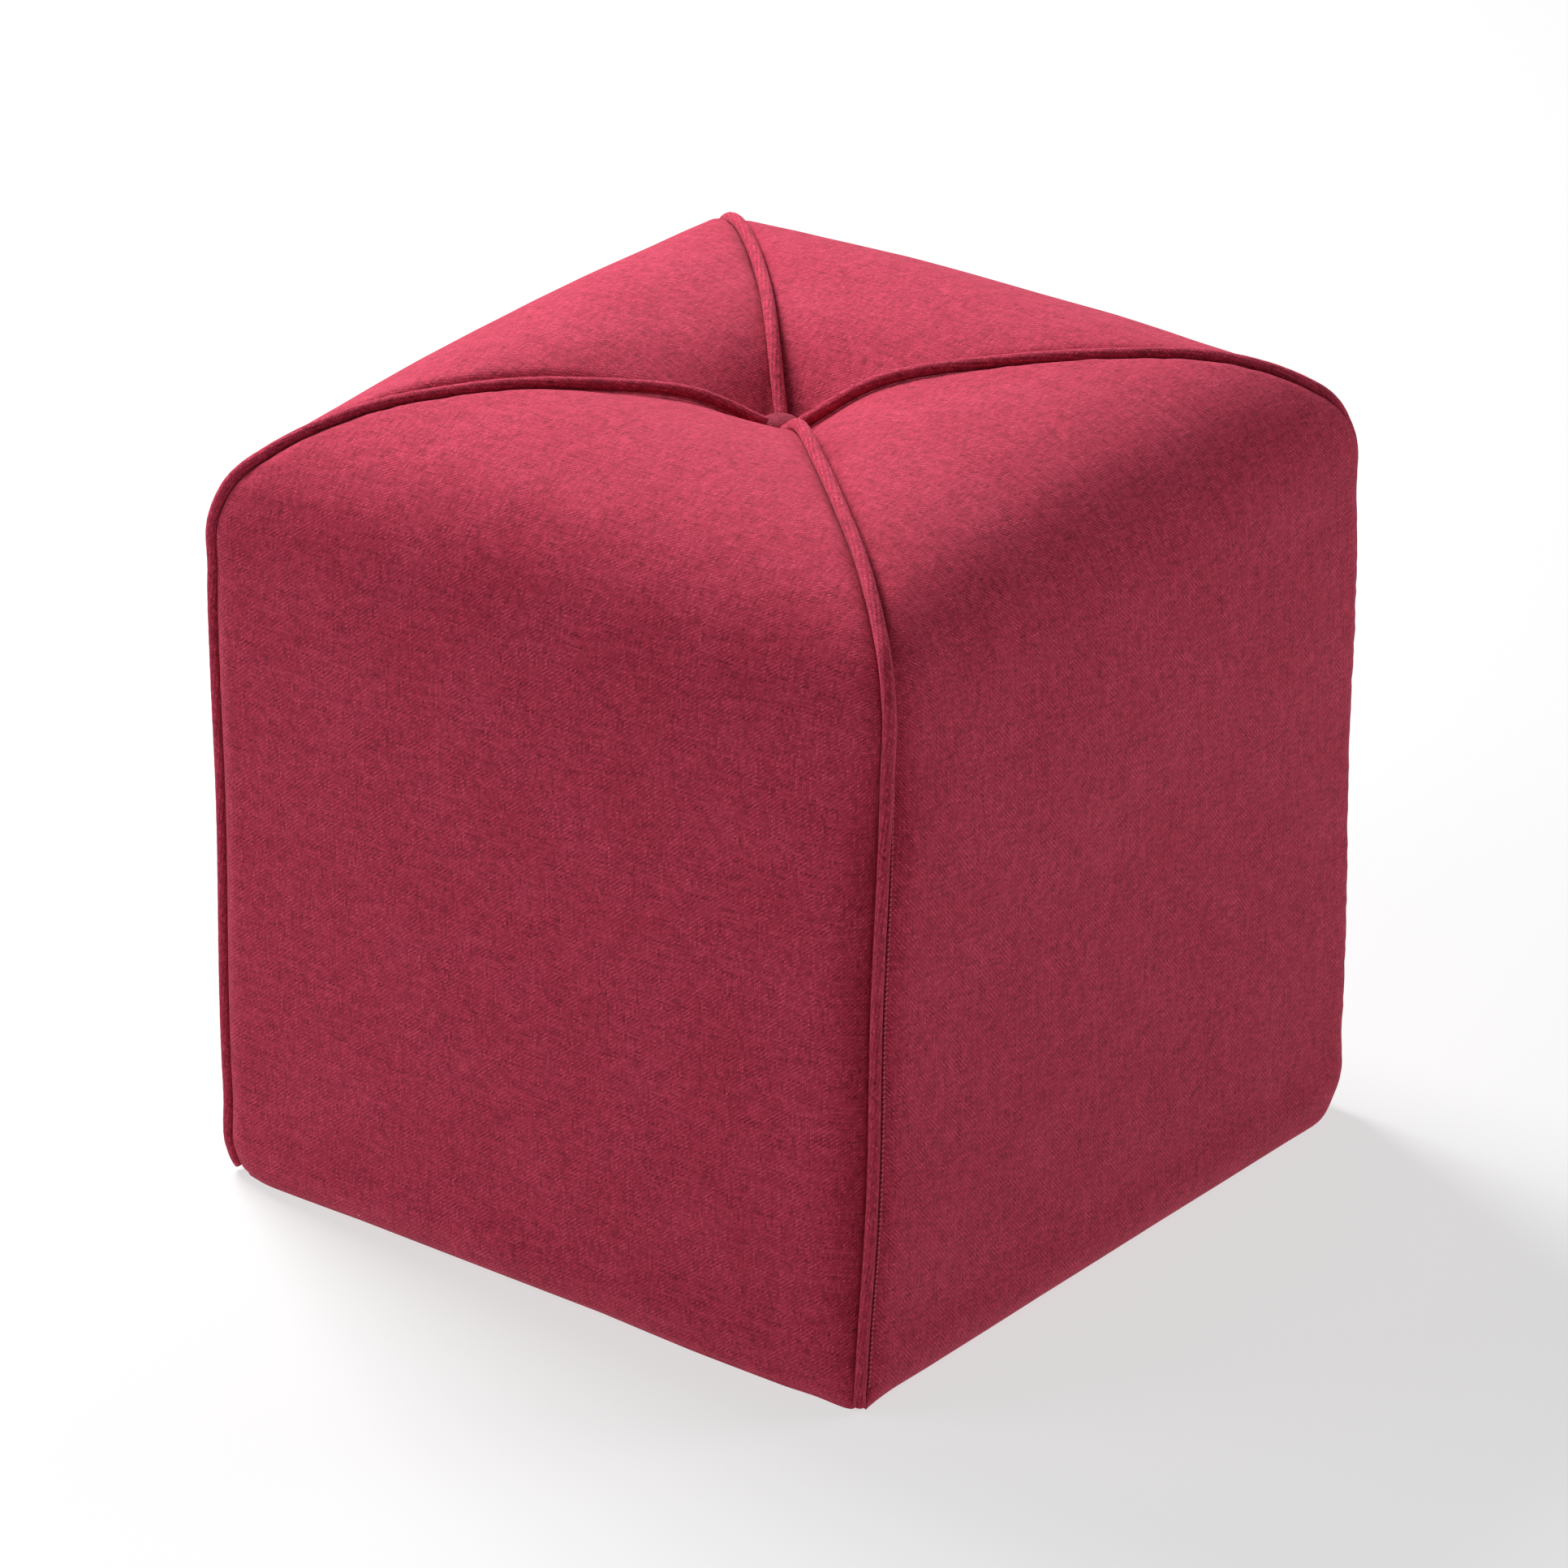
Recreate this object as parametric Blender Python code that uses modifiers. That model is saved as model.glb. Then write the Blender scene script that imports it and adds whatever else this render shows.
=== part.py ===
"""Cube pouf stool: four filled panels with piped seams, a pulled-in button and a base cloth.

Each panel is one side wall and one triangular quarter of the top, cut in one length of cloth and
filled. The panels meet along four seams that run from the button out to a corner and down to the
hem. A piping lies in each seam. The front is -Y, the floor is z = 0 and the button is near the
Z axis.
"""

from collections import namedtuple
from math import cos, pi, radians, sin, sqrt

import bmesh
import bpy
import numpy as np

NAME = "cube_pouf_stool"
MM = 0.001

# A section is a line round the pouf, from the button seat to the hem. seam_out is the distance of
# the seam from each of the two middle planes, and mid_out that of the middle of a panel from its
# own middle plane. Both heights are above the floor. rise is the piping's axis above the line where
# the cloths meet. Millimetres. wrap is how far round the piping the cloths reach, in degrees from
# its underside.
Section = namedtuple("Section", "name seam_out seam_up mid_out mid_up rise wrap")
SECTIONS = (
    Section("seat", 9.0, 381.3, 9.5, 378.5, 2.2, 50.0),
    Section("dish", 30.0, 397.0, 30.0, 395.5, 2.2, 50.0),
    Section("inner_crown", 70.0, 404.5, 68.0, 408.0, 2.2, 50.0),
    Section("crown", 110.0, 405.0, 108.0, 412.0, 2.2, 50.0),
    Section("outer_crown", 145.0, 399.5, 143.0, 407.0, 2.2, 50.0),
    Section("shoulder_high", 170.3, 386.6, 167.0, 397.0, 2.0, 54.0),
    Section("shoulder", 183.4, 374.8, 185.0, 380.0, 1.7, 60.0),
    Section("shoulder_low", 190.5, 357.0, 196.0, 358.0, 1.3, 66.0),
    Section("wall_top", 191.6, 330.0, 200.5, 325.0, 0.8, 72.0),
    Section("wall_middle", 191.5, 200.0, 201.5, 200.0, 0.6, 75.0),
    Section("wall_low", 191.7, 40.0, 200.2, 40.0, 0.6, 75.0),
    Section("hem_top", 190.9, 13.0, 199.2, 14.0, 0.4, 76.0),
    Section("hem_roll", 189.4, 4.0, 194.8, 4.2, 0.2, 77.0),
    Section("hem", 187.8, 0.0, 189.5, 0.0, 0.0, 78.0),
)
STEPS = 4                     # rows from one section to the next

# A corner's seam is turned about the Z axis by turn_top at the shoulder and turn_low at the floor,
# in degrees. lift raises its shoulder, reach moves it out and foot moves its lower end out. Between
# the button and the shoulder its middle is moved anticlockwise by sway and up by swell, and its
# inner part up by hump. drift moves the lower part of its wall anticlockwise. Its foot is tucked in
# by tuck at the floor and by nothing at tuck_up; a tuck below 0 spreads it out. All in millimetres.
Corner = namedtuple(
    "Corner",
    "name x_side y_side turn_top turn_low lift reach foot sway swell hump drift tuck tuck_up",
)
CORNERS = (
    Corner("front_right", 1, -1, 1.9, -0.7, -1.8, 0.2, 2.0, -1.4, -1.2, -0.6, 1.8, -3.0, 14.0),
    Corner("back_right", 1, 1, 0.6, -0.5, 2.7, 1.3, 2.5, -2.0, -1.0, 0.4, 0.0, 7.0, 36.0),
    Corner("back_left", -1, 1, -0.4, 0.3, 2.3, -0.2, 1.5, -3.6, -0.7, 4.5, 0.0, 5.0, 28.0),
    Corner("front_left", -1, -1, 2.7, -0.7, -0.6, 1.6, 1.5, -4.6, 2.4, -0.8, 0.0, 3.0, 24.0),
)

# How much further round the piping the panel after a corner (anticlockwise) reaches, and the panel
# before it less, in degrees, on top and on the wall. It changes from one to the other between two
# heights, in millimetres.
Roll = namedtuple("Roll", "top wall from_up to_up")
ROLLS = {
    "front_right": Roll(-15.0, 20.0, 330.0, 280.0),
    "back_right": Roll(0.0, -60.0, 390.0, 366.0),
    "back_left": Roll(15.0, 0.0, 330.0, 280.0),
    "front_left": Roll(0.0, -15.0, 330.0, 280.0),
}
TOP_REACH = 180.0 * MM        # from the button to the shoulder, out from a middle plane
FOOT_Z = 45.0 * MM            # foot and tuck start at this height
TURN_TOP_Z = 350.0 * MM       # the height where turn_top is reached
LIFT_FROM_Z = 200.0 * MM      # lift grows from here up
LIFT_FULL = 200.0 * MM        # over this height
REACH_FULL = 190.0 * MM       # reach is full this far out
DRIFT_REACH = 220.0 * MM      # drift ends at this height
TUCK_WIDTH = 22.0 * MM        # how far along a panel a corner's tuck draws its hem with it

# A panel lies between two corners and faces outward. swell raises the middle of its top and tuck
# draws the middle of its hem in, in millimetres.
Panel = namedtuple("Panel", "name start end outward swell tuck")
PANELS = (
    Panel("front", "front_left", "front_right", (0.0, -1.0, 0.0), 0.0, 0.8),
    Panel("right", "front_right", "back_right", (1.0, 0.0, 0.0), 0.0, 1.0),
    Panel("back", "back_right", "back_left", (0.0, 1.0, 0.0), 1.0, 0.0),
    Panel("left", "back_left", "front_left", (-1.0, 0.0, 0.0), 5.0, 0.0),
)

# A hem isn't quite straight. Place is from 0 at a panel's start to 1 at its end, and out is how far
# outward the hem lies there, in millimetres.
Hem = namedtuple("Hem", "place out")
HEMS = {
    "front": (Hem(0.0, 4.0), Hem(0.2, 1.0), Hem(0.6, 1.0), Hem(0.75, 4.0), Hem(0.9, 5.0), Hem(1.0, 2.0)),
    "right": (Hem(0.0, -3.0), Hem(0.12, -2.0), Hem(0.35, -3.0), Hem(0.6, -2.0), Hem(0.9, 1.0), Hem(1.0, 3.0)),
    "back": (Hem(0.0, 3.0), Hem(0.3, -2.0), Hem(0.7, 1.5), Hem(1.0, 0.0)),
    "left": (Hem(0.0, 0.0), Hem(0.25, 2.0), Hem(0.6, -2.0), Hem(1.0, 3.0)),
}
HEM_Z = 12.0 * MM             # the hem's unevenness starts at this height
HEM_POWER = 1.5               # how fast it grows down to the floor
HEM_END_POWER = 0.25          # how fast it grows away from a seam

GAP = 0.3 * MM                # between pieces that touch
WELT_RADIUS = 2.85 * MM       # piping, half its diameter
WELT_FOOT_Z = 3.4 * MM        # lowest point of the piping's axis
GROOVE_RADIUS = WELT_RADIUS + 1.5 * GAP   # the cloth round the piping, clear of it by a gap or more
GROOVE_STEPS = 3              # columns from the piping's underside to the edge of the panel

EDGE_WIDTH = 14.0 * MM        # soft rounded edge of a panel beside its seam
EDGE_POWER = 2.4              # how fast that edge rounds over
EDGE_SHARE = 0.45             # part of a panel's fullness that is gained in the soft edge
FULLNESS_POWER = 2.2          # how flat the rest of a panel's crown is
EDGE_STOPS = (0.35, 0.7, 1.0)       # columns in the soft edge, as shares of its width
FIELD_COLUMNS = 6             # columns between the two soft edges
NARROW_SHARE = 0.6            # the soft edge takes at most this share of half a panel

SEAT_OFF = (-0.9 * MM, -1.9 * MM)     # where the seams meet, from the Z axis
SEAT_PULL = 150.0 * MM        # how far out the seams are drawn with it
BUTTON_OFF = (-2.3 * MM, -3.0 * MM)   # the button's place, from the Z axis
BUTTON_RADIUS = 9.2 * MM
BUTTON_RIM_Z = 383.0 * MM     # height of the button's widest line
BUTTON_TOP_Z = 386.6 * MM
BUTTON_UNDER_Z = 380.8 * MM
SHANK_RADIUS = 3.0 * MM
SHANK_FOOT_Z = 377.0 * MM
SEAT_CENTRE_Z = 374.0 * MM    # where the four panels meet below the button
BUTTON_SIDES = 28
BUTTON_ARC_STEPS = 4

BASE_HALF = 172.2 * MM        # the base cloth is a square of twice this
RECESS_HALF = 176.0 * MM      # the recess it lies in, at the floor
RECESS_ROOF_HALF = 172.5 * MM # and at its roof
RECESS_CORNER = 12.0 * MM     # radius of its corners
RECESS_CORNER_STEPS = 4       # columns in half of one corner
BASE_THICKNESS = 2.0 * MM
BASE_CORNER = 14.5 * MM       # radius of its corners
CORE_Z = 200.0 * MM           # inner point that each panel's filling tapers to

CLOTH_COLOUR = (0.40, 0.032, 0.065, 1.0)
WELT_COLOUR = (0.34, 0.026, 0.055, 1.0)
CLOTH_ROUGHNESS = 0.9


def remove_all():
    for obj in list(bpy.data.objects):
        bpy.data.objects.remove(obj, do_unlink=True)


def new_collection(name):
    collection = bpy.data.collections.new(name)
    bpy.context.scene.collection.children.link(collection)
    return collection


def cloth_material(name, colour):
    material = bpy.data.materials.new(name)
    material.use_nodes = True
    shader = material.node_tree.nodes["Principled BSDF"]
    shader.inputs["Base Color"].default_value = colour
    shader.inputs["Roughness"].default_value = CLOTH_ROUGHNESS
    shader.inputs["Metallic"].default_value = 0.0
    material.diffuse_color = colour
    return material


def unit(rows):
    """Each row of an array, scaled to length 1."""
    return rows / np.linalg.norm(rows, axis=-1)[..., None]


def smooth_curve(points, steps):
    """A smooth curve through the points, with steps rows from each point to the next."""
    points = np.asarray(points, dtype=float)
    span = np.linalg.norm(np.diff(points, axis=0), axis=1)[:, None]
    slope = np.diff(points, axis=0) / span
    tangent = np.empty_like(points)
    tangent[1:-1] = (slope[:-1] * span[1:] + slope[1:] * span[:-1]) / (span[1:] + span[:-1])
    tangent[0] = slope[0]
    tangent[-1] = slope[-1]
    share = np.linspace(0.0, 1.0, steps, endpoint=False)[:, None]
    stretches = []
    for i in range(len(points) - 1):
        from_start = 2 * share**3 - 3 * share**2 + 1
        leave = (share**3 - 2 * share**2 + share) * span[i]
        arrive = (share**3 - share**2) * span[i]
        stretches.append(
            from_start * points[i] + leave * tangent[i]
            + (1 - from_start) * points[i + 1] + arrive * tangent[i + 1]
        )
    stretches.append(points[-1:])
    return np.concatenate(stretches)


def seam_profile():
    """(out, up) along a seam, before a corner's own shape."""
    return smooth_curve([(s.seam_out * MM, s.seam_up * MM) for s in SECTIONS], STEPS)


def middle_profile():
    """(out, up) along the middle of a panel."""
    return smooth_curve([(s.mid_out * MM, s.mid_up * MM) for s in SECTIONS], STEPS)


def by_row(column):
    """A column of the section table, for every row."""
    stations = np.arange(len(SECTIONS)) * STEPS
    return np.interp(np.arange(stations[-1] + 1), stations, column)


def top_bump(out, turns):
    """A soft bump that is 0 at the button and at the shoulder; turns is how far out it ends."""
    share = np.clip((out - out[0]) / TOP_REACH * turns, 0.0, 1.0)
    return np.sin(pi * share) ** 2


def seam_line(corner, tucked):
    """The line where two panels' cloths meet, from the button seat to the hem."""
    out, up = seam_profile().T
    middle = top_bump(out, 1.0)
    inner = top_bump(out, 2.0)
    pull = (1.0 - np.clip((out - out[0]) / SEAT_PULL, 0.0, 1.0)) ** 2
    lift = corner.lift * np.clip((up - LIFT_FROM_Z) / LIFT_FULL, 0.0, 1.0) * (1.0 - pull)
    height = up + (lift + corner.swell * middle + corner.hump * inner) * MM
    foot = corner.foot * np.clip(1.0 - up / FOOT_Z, 0.0, 1.0)
    out = out + (corner.reach * np.clip(out / REACH_FULL, 0.0, 1.0) ** 2 + foot) * MM
    turn_share = np.clip(up / TURN_TOP_Z, 0.0, 1.0)
    turn = np.radians(corner.turn_low + (corner.turn_top - corner.turn_low) * turn_share)
    if tucked:
        rounding = np.clip(1.0 - up / MM / corner.tuck_up, 0.0, 1.0) ** 2
        out = out - corner.tuck * MM * rounding / sqrt(2.0)
    drift = corner.drift * np.sin(pi * np.clip(up / DRIFT_REACH, 0.0, 1.0)) ** 2
    sway = (corner.sway * middle + drift) * MM / sqrt(2.0)
    x = out * corner.x_side - sway * corner.y_side
    y = out * corner.y_side + sway * corner.x_side
    return np.stack([
        np.cos(turn) * x - np.sin(turn) * y + SEAT_OFF[0] * pull,
        np.sin(turn) * x + np.cos(turn) * y + SEAT_OFF[1] * pull,
        height,
    ], axis=-1)


def seam_frame(line):
    """For each point of a seam: which way is proud of the cloth, and which way is anticlockwise."""
    along = unit(np.gradient(line, axis=0))
    away = unit(line * (1.0, 1.0, 0.0))
    across = np.cross((0.0, 0.0, 1.0), away)
    proud = unit(np.cross(across, along))
    outward = line - (0.0, 0.0, CORE_Z)
    proud = proud * np.sign(np.sum(proud * outward, axis=1))[:, None]
    return proud, across


class Seam:
    """One corner's seam: its line, its piping's axis and its groove."""

    def __init__(self, corner, tucked=True):
        self.line = seam_line(corner, tucked)
        self.proud, self.across = seam_frame(self.line)
        rise = by_row([s.rise * MM for s in SECTIONS])[:, None]
        self.welt_axis = self.line + self.proud * rise
        roll = ROLLS[corner.name]
        share = (roll.from_up - self.line[:, 2] / MM) / (roll.from_up - roll.to_up)
        self.roll = roll.top + (roll.wall - roll.top) * np.clip(share, 0.0, 1.0)

    def groove(self, outward):
        """The lines of the cloth round the piping, from under it to the panel facing outward."""
        side = np.sign(self.across @ np.array(outward))
        reach = np.radians(by_row([s.wrap for s in SECTIONS]) + side * self.roll)
        lines = []
        for step in range(GROOVE_STEPS + 1):
            turn = (reach * step / GROOVE_STEPS)[:, None]
            direction = -np.cos(turn) * self.proud + np.sin(turn) * side[:, None] * self.across
            lines.append(self.welt_axis + GROOVE_RADIUS * direction)
        return lines


def column_shares(length):
    """Places of the columns between two seams, as distances from the first one."""
    width = min(EDGE_WIDTH, length / 2 * NARROW_SHARE)
    edge = [width * stop for stop in EDGE_STOPS]
    field = np.linspace(width, length - width, FIELD_COLUMNS + 1)[1:-1]
    far_edge = [length - distance for distance in reversed(edge)]
    return np.array([0.0] + edge + list(field) + far_edge + [length]), width


def panel_row(start, end, bulge, outward, tucks):
    """One row of a panel's cloth between two seams, crowned and drawn in at its ends by tucks."""
    length = np.linalg.norm(end - start)
    places, width = column_shares(length)
    across = places / length
    base = start + (end - start) * across[:, None]
    to_edge = np.minimum(places, length - places)
    edge = 1.0 - np.clip(1.0 - to_edge / width, 0.0, 1.0) ** EDGE_POWER
    field = 1.0 - np.abs(2.0 * across - 1.0) ** FULLNESS_POWER
    full = EDGE_SHARE * edge + (1.0 - EDGE_SHARE) * field
    lift = bulge[0] * np.array(outward) + bulge[1] * np.array((0.0, 0.0, 1.0))
    row = base + full[:, None] * lift
    for tuck, distance in zip(tucks, (places, length - places)):
        follow = 0.5 + 0.5 * np.cos(pi * np.clip(distance / TUCK_WIDTH, 0.0, 1.0))
        row = row + follow[:, None] * tuck
    return row


def fullness(panel):
    """How far the middle of a panel stands out and up from its seams, row by row."""
    middle = middle_profile()
    tucked = np.clip(1.0 - middle[:, 1] / FOOT_Z, 0.0, 1.0)
    middle[:, 1] += panel.swell * MM * top_bump(middle[:, 0], 1.0)
    middle[:, 0] -= panel.tuck * MM * tucked
    return middle - seam_profile()


def hem_shift(panel, points):
    """How far outward each point of a row near the hem lies."""
    along = np.cross((0.0, 0.0, 1.0), np.array(panel.outward))
    side = points @ along
    place = np.clip((side - side[0]) / (side[-1] - side[0]), 0.0, 1.0)
    hems = HEMS[panel.name]
    out = np.interp(place, [hem.place for hem in hems], [hem.out for hem in hems])
    inside = np.sin(pi * place) ** HEM_END_POWER
    low = np.clip(1.0 - points[:, 2] / HEM_Z, 0.0, 1.0) ** HEM_POWER
    return (out * MM * low * inside)[:, None] * np.array(panel.outward)


def panel_rows(panel, seams, upright_seams):
    """All rows of a panel, each from one groove's floor over the cloth to the other's."""
    near = seams[panel.start].groove(panel.outward)
    far = seams[panel.end].groove(panel.outward)
    near_edge = upright_seams[panel.start].groove(panel.outward)[-1]
    far_edge = upright_seams[panel.end].groove(panel.outward)[-1]
    rows = []
    for i, bulge in enumerate(fullness(panel)):
        tucks = (near[-1][i] - near_edge[i], far[-1][i] - far_edge[i])
        cloth = panel_row(near_edge[i], far_edge[i], bulge, panel.outward, tucks)
        cloth = cloth + hem_shift(panel, cloth)
        row = [line[i] for line in near[:-1]] + list(cloth) + [line[i] for line in far[-2::-1]]
        rows.append(np.array(row))
    rows[-1][:, 2] = 0.0
    return rows


def recess_line(panel, half, height, count):
    """A quarter of a square with round corners, on the side that the panel faces."""
    outward = np.array(panel.outward)
    along = np.cross((0.0, 0.0, 1.0), outward)
    straight = half - RECESS_CORNER
    turn = pi / 4 * np.linspace(1.0, 0.0, RECESS_CORNER_STEPS, endpoint=False)
    bend = straight + RECESS_CORNER * np.sin(turn)
    flat = np.linspace(-straight, straight, count - 2 * RECESS_CORNER_STEPS)
    aside = np.concatenate([-bend, flat, bend[::-1]])
    turns = np.concatenate([turn, 0.0 * flat, turn[::-1]])
    out = straight + RECESS_CORNER * np.cos(turns)
    up = np.array((0.0, 0.0, height))
    return out[:, None] * outward + aside[:, None] * along + up


def underside_rows(panel, count):
    """Two rows on the edge of the recess that the base cloth lies in."""
    return [
        recess_line(panel, RECESS_HALF, 0.0, count),
        recess_line(panel, RECESS_ROOF_HALF, BASE_THICKNESS + GAP, count),
    ]


def add_mesh_object(name, mesh, material, collection):
    mesh.materials.append(material)
    obj = bpy.data.objects.new(name, mesh)
    collection.objects.link(obj)
    mesh.shade_smooth()
    mesh.set_sharp_from_angle(angle=radians(40.0))
    return obj


def build_panel(panel, seams, upright_seams, material, collection):
    """A panel with its quarter of the filling, lofted row by row and closed to an inner core."""
    rows = panel_rows(panel, seams, upright_seams)
    rows += underside_rows(panel, len(rows[0]))
    apart = np.array(panel.outward) * GAP / sqrt(2.0)
    bm = bmesh.new()
    grid = [[bm.verts.new(point + apart) for point in row] for row in rows]
    seat = bm.verts.new(np.array((*SEAT_OFF, SEAT_CENTRE_Z)) + apart)
    foot = bm.verts.new(np.array((0.0, 0.0, BASE_THICKNESS + GAP)) + apart)
    core = bm.verts.new(np.array((0.0, 0.0, CORE_Z)) + apart)
    for upper, lower in zip(grid, grid[1:]):
        for i in range(len(upper) - 1):
            bm.faces.new((upper[i], lower[i], lower[i + 1], upper[i + 1]))
    for i in range(len(grid[0]) - 1):
        bm.faces.new((seat, grid[0][i], grid[0][i + 1]))
        bm.faces.new((foot, grid[-1][i + 1], grid[-1][i]))
    for column, order in ((0, 1), (-1, -1)):
        rim = [seat] + [row[column] for row in grid] + [foot]
        for upper, lower in zip(rim, rim[1:]):
            bm.faces.new((core, lower, upper)[::order])
    bmesh.ops.recalc_face_normals(bm, faces=bm.faces)
    mesh = bpy.data.meshes.new("panel_" + panel.name)
    bm.to_mesh(mesh)
    bm.free()
    return add_mesh_object("panel_" + panel.name, mesh, material, collection)


def build_welt(corner, seam, material, collection):
    """The piping of one seam: a round cord from beside the button down to the hem."""
    path = [point for point in seam.welt_axis if point[2] > WELT_FOOT_Z]
    below = seam.welt_axis[len(path)]
    share = (path[-1][2] - WELT_FOOT_Z) / (path[-1][2] - below[2])
    path.append(path[-1] + (below - path[-1]) * share)
    curve = bpy.data.curves.new("welt_" + corner.name, "CURVE")
    curve.dimensions = "3D"
    curve.bevel_depth = WELT_RADIUS
    curve.bevel_resolution = 2
    curve.use_fill_caps = True
    curve.materials.append(material)
    spline = curve.splines.new("POLY")
    spline.points.add(len(path) - 1)
    for point, place in zip(spline.points, path):
        point.co = (*place, 1.0)
    obj = bpy.data.objects.new("welt_" + corner.name, curve)
    collection.objects.link(obj)
    return obj


def button_profile():
    """(radius, height) of the button's outer side, from the top of its dome to its shank's foot."""
    dome = BUTTON_TOP_Z - BUTTON_RIM_Z
    profile = []
    for step in range(BUTTON_ARC_STEPS + 1):
        turn = pi / 2 * step / BUTTON_ARC_STEPS
        profile.append((BUTTON_RADIUS * sin(turn), BUTTON_RIM_Z + dome * cos(turn)))
    under = BUTTON_RIM_Z - BUTTON_UNDER_Z
    profile.append((BUTTON_RADIUS - under / 2, BUTTON_UNDER_Z + under / 4))
    profile.append((BUTTON_RADIUS - under, BUTTON_UNDER_Z))
    profile.append((SHANK_RADIUS, BUTTON_UNDER_Z))
    profile.append((SHANK_RADIUS, SHANK_FOOT_Z))
    profile.append((0.0, SHANK_FOOT_Z))
    return profile


def build_button(material, collection):
    """The covered button, a profile turned round its own axis."""
    profile = button_profile()
    mesh = bpy.data.meshes.new("button")
    vertices = [(radius, 0.0, height) for radius, height in profile]
    edges = [(i, i + 1) for i in range(len(profile) - 1)]
    mesh.from_pydata(vertices, edges, [])
    mesh.materials.append(material)
    obj = bpy.data.objects.new("button", mesh)
    obj.location = (*BUTTON_OFF, 0.0)
    collection.objects.link(obj)
    screw = obj.modifiers.new("turn", "SCREW")
    screw.axis = "Z"
    screw.steps = BUTTON_SIDES
    screw.render_steps = BUTTON_SIDES
    screw.use_merge_vertices = True
    screw.merge_threshold = 0.01 * MM
    screw.use_smooth_shade = True
    return obj


def build_base(material, collection):
    """The cloth that closes the bottom: a flat square with round corners."""
    bm = bmesh.new()
    bmesh.ops.create_cube(bm, size=1.0)
    bmesh.ops.scale(bm, vec=(2 * BASE_HALF, 2 * BASE_HALF, BASE_THICKNESS), verts=bm.verts)
    bmesh.ops.translate(bm, vec=(0.0, 0.0, BASE_THICKNESS / 2), verts=bm.verts)
    upright = [e for e in bm.edges if abs(e.verts[0].co.z - e.verts[1].co.z) > BASE_THICKNESS / 2]
    bmesh.ops.bevel(bm, geom=upright, offset=BASE_CORNER, segments=5, profile=0.5, affect="EDGES")
    mesh = bpy.data.meshes.new("base")
    bm.to_mesh(mesh)
    bm.free()
    return add_mesh_object("base", mesh, material, collection)


def main():
    remove_all()
    collection = new_collection(NAME)
    cloth = cloth_material("pouf_cloth", CLOTH_COLOUR)
    welt_cloth = cloth_material("welt_cloth", WELT_COLOUR)
    button_cloth = cloth_material("button_cloth", CLOTH_COLOUR)
    base_cloth = cloth_material("base_cloth", CLOTH_COLOUR)
    seams = {corner.name: Seam(corner) for corner in CORNERS}
    upright_seams = {corner.name: Seam(corner, tucked=False) for corner in CORNERS}
    for panel in PANELS:
        build_panel(panel, seams, upright_seams, cloth, collection)
    for corner in CORNERS:
        build_welt(corner, seams[corner.name], welt_cloth, collection)
    build_button(button_cloth, collection)
    build_base(base_cloth, collection)


main()
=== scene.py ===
"""Looks of a cube pouf stool: woven panels, piping, seam stitches, a covered button, a base cloth.

The forms follow the same sections as the solids, with finer rows and the small unevenness that
filled cloth has. The front is -Y and the floor is z = 0. Lengths are in metres, apart from the
tables that say millimetres.
"""

from collections import namedtuple
from math import cos, pi, radians, sin, sqrt

import bpy
import numpy as np
from mathutils import Matrix, Vector


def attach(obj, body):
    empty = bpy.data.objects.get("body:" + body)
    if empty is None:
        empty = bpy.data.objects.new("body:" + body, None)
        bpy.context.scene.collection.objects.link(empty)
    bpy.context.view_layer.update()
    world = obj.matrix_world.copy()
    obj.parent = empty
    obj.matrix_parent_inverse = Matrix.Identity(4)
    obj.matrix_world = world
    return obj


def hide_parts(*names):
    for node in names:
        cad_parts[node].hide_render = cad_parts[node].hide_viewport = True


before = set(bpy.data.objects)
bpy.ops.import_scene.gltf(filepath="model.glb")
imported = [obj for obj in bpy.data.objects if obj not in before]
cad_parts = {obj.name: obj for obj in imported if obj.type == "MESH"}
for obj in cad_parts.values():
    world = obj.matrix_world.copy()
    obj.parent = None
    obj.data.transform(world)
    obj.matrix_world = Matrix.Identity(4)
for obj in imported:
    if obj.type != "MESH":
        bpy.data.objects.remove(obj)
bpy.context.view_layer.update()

MM = 0.001
UP = (0.0, 0.0, 1.0)

# ---------------- camera
CAMERA_AZIMUTH = radians(37.3)
CAMERA_ELEVATION = radians(25.4)
CAMERA_DISTANCE = 4.022
CAMERA_ASIDE = -0.0016
CAMERA_HEIGHT = 0.1935
CAMERA_LENS = 191.27
SENSOR_WIDTH = 36.0
CLIP_END = 100.0


def link(obj):
    bpy.context.scene.collection.objects.link(obj)


def make_camera():
    back = Vector((
        sin(CAMERA_AZIMUTH) * cos(CAMERA_ELEVATION),
        -cos(CAMERA_AZIMUTH) * cos(CAMERA_ELEVATION),
        sin(CAMERA_ELEVATION),
    ))
    right = Vector((cos(CAMERA_AZIMUTH), sin(CAMERA_AZIMUTH), 0.0))
    up = back.cross(right)
    target = right * CAMERA_ASIDE + Vector((0.0, 0.0, CAMERA_HEIGHT))
    data = bpy.data.cameras.new("camera")
    data.lens = CAMERA_LENS
    data.sensor_width = SENSOR_WIDTH
    data.clip_end = CLIP_END
    camera = bpy.data.objects.new("camera", data)
    link(camera)
    place = Matrix((right, up, back)).transposed().to_4x4()
    place.translation = target + back * CAMERA_DISTANCE
    camera.matrix_world = place
    bpy.context.scene.camera = camera


make_camera()

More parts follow.
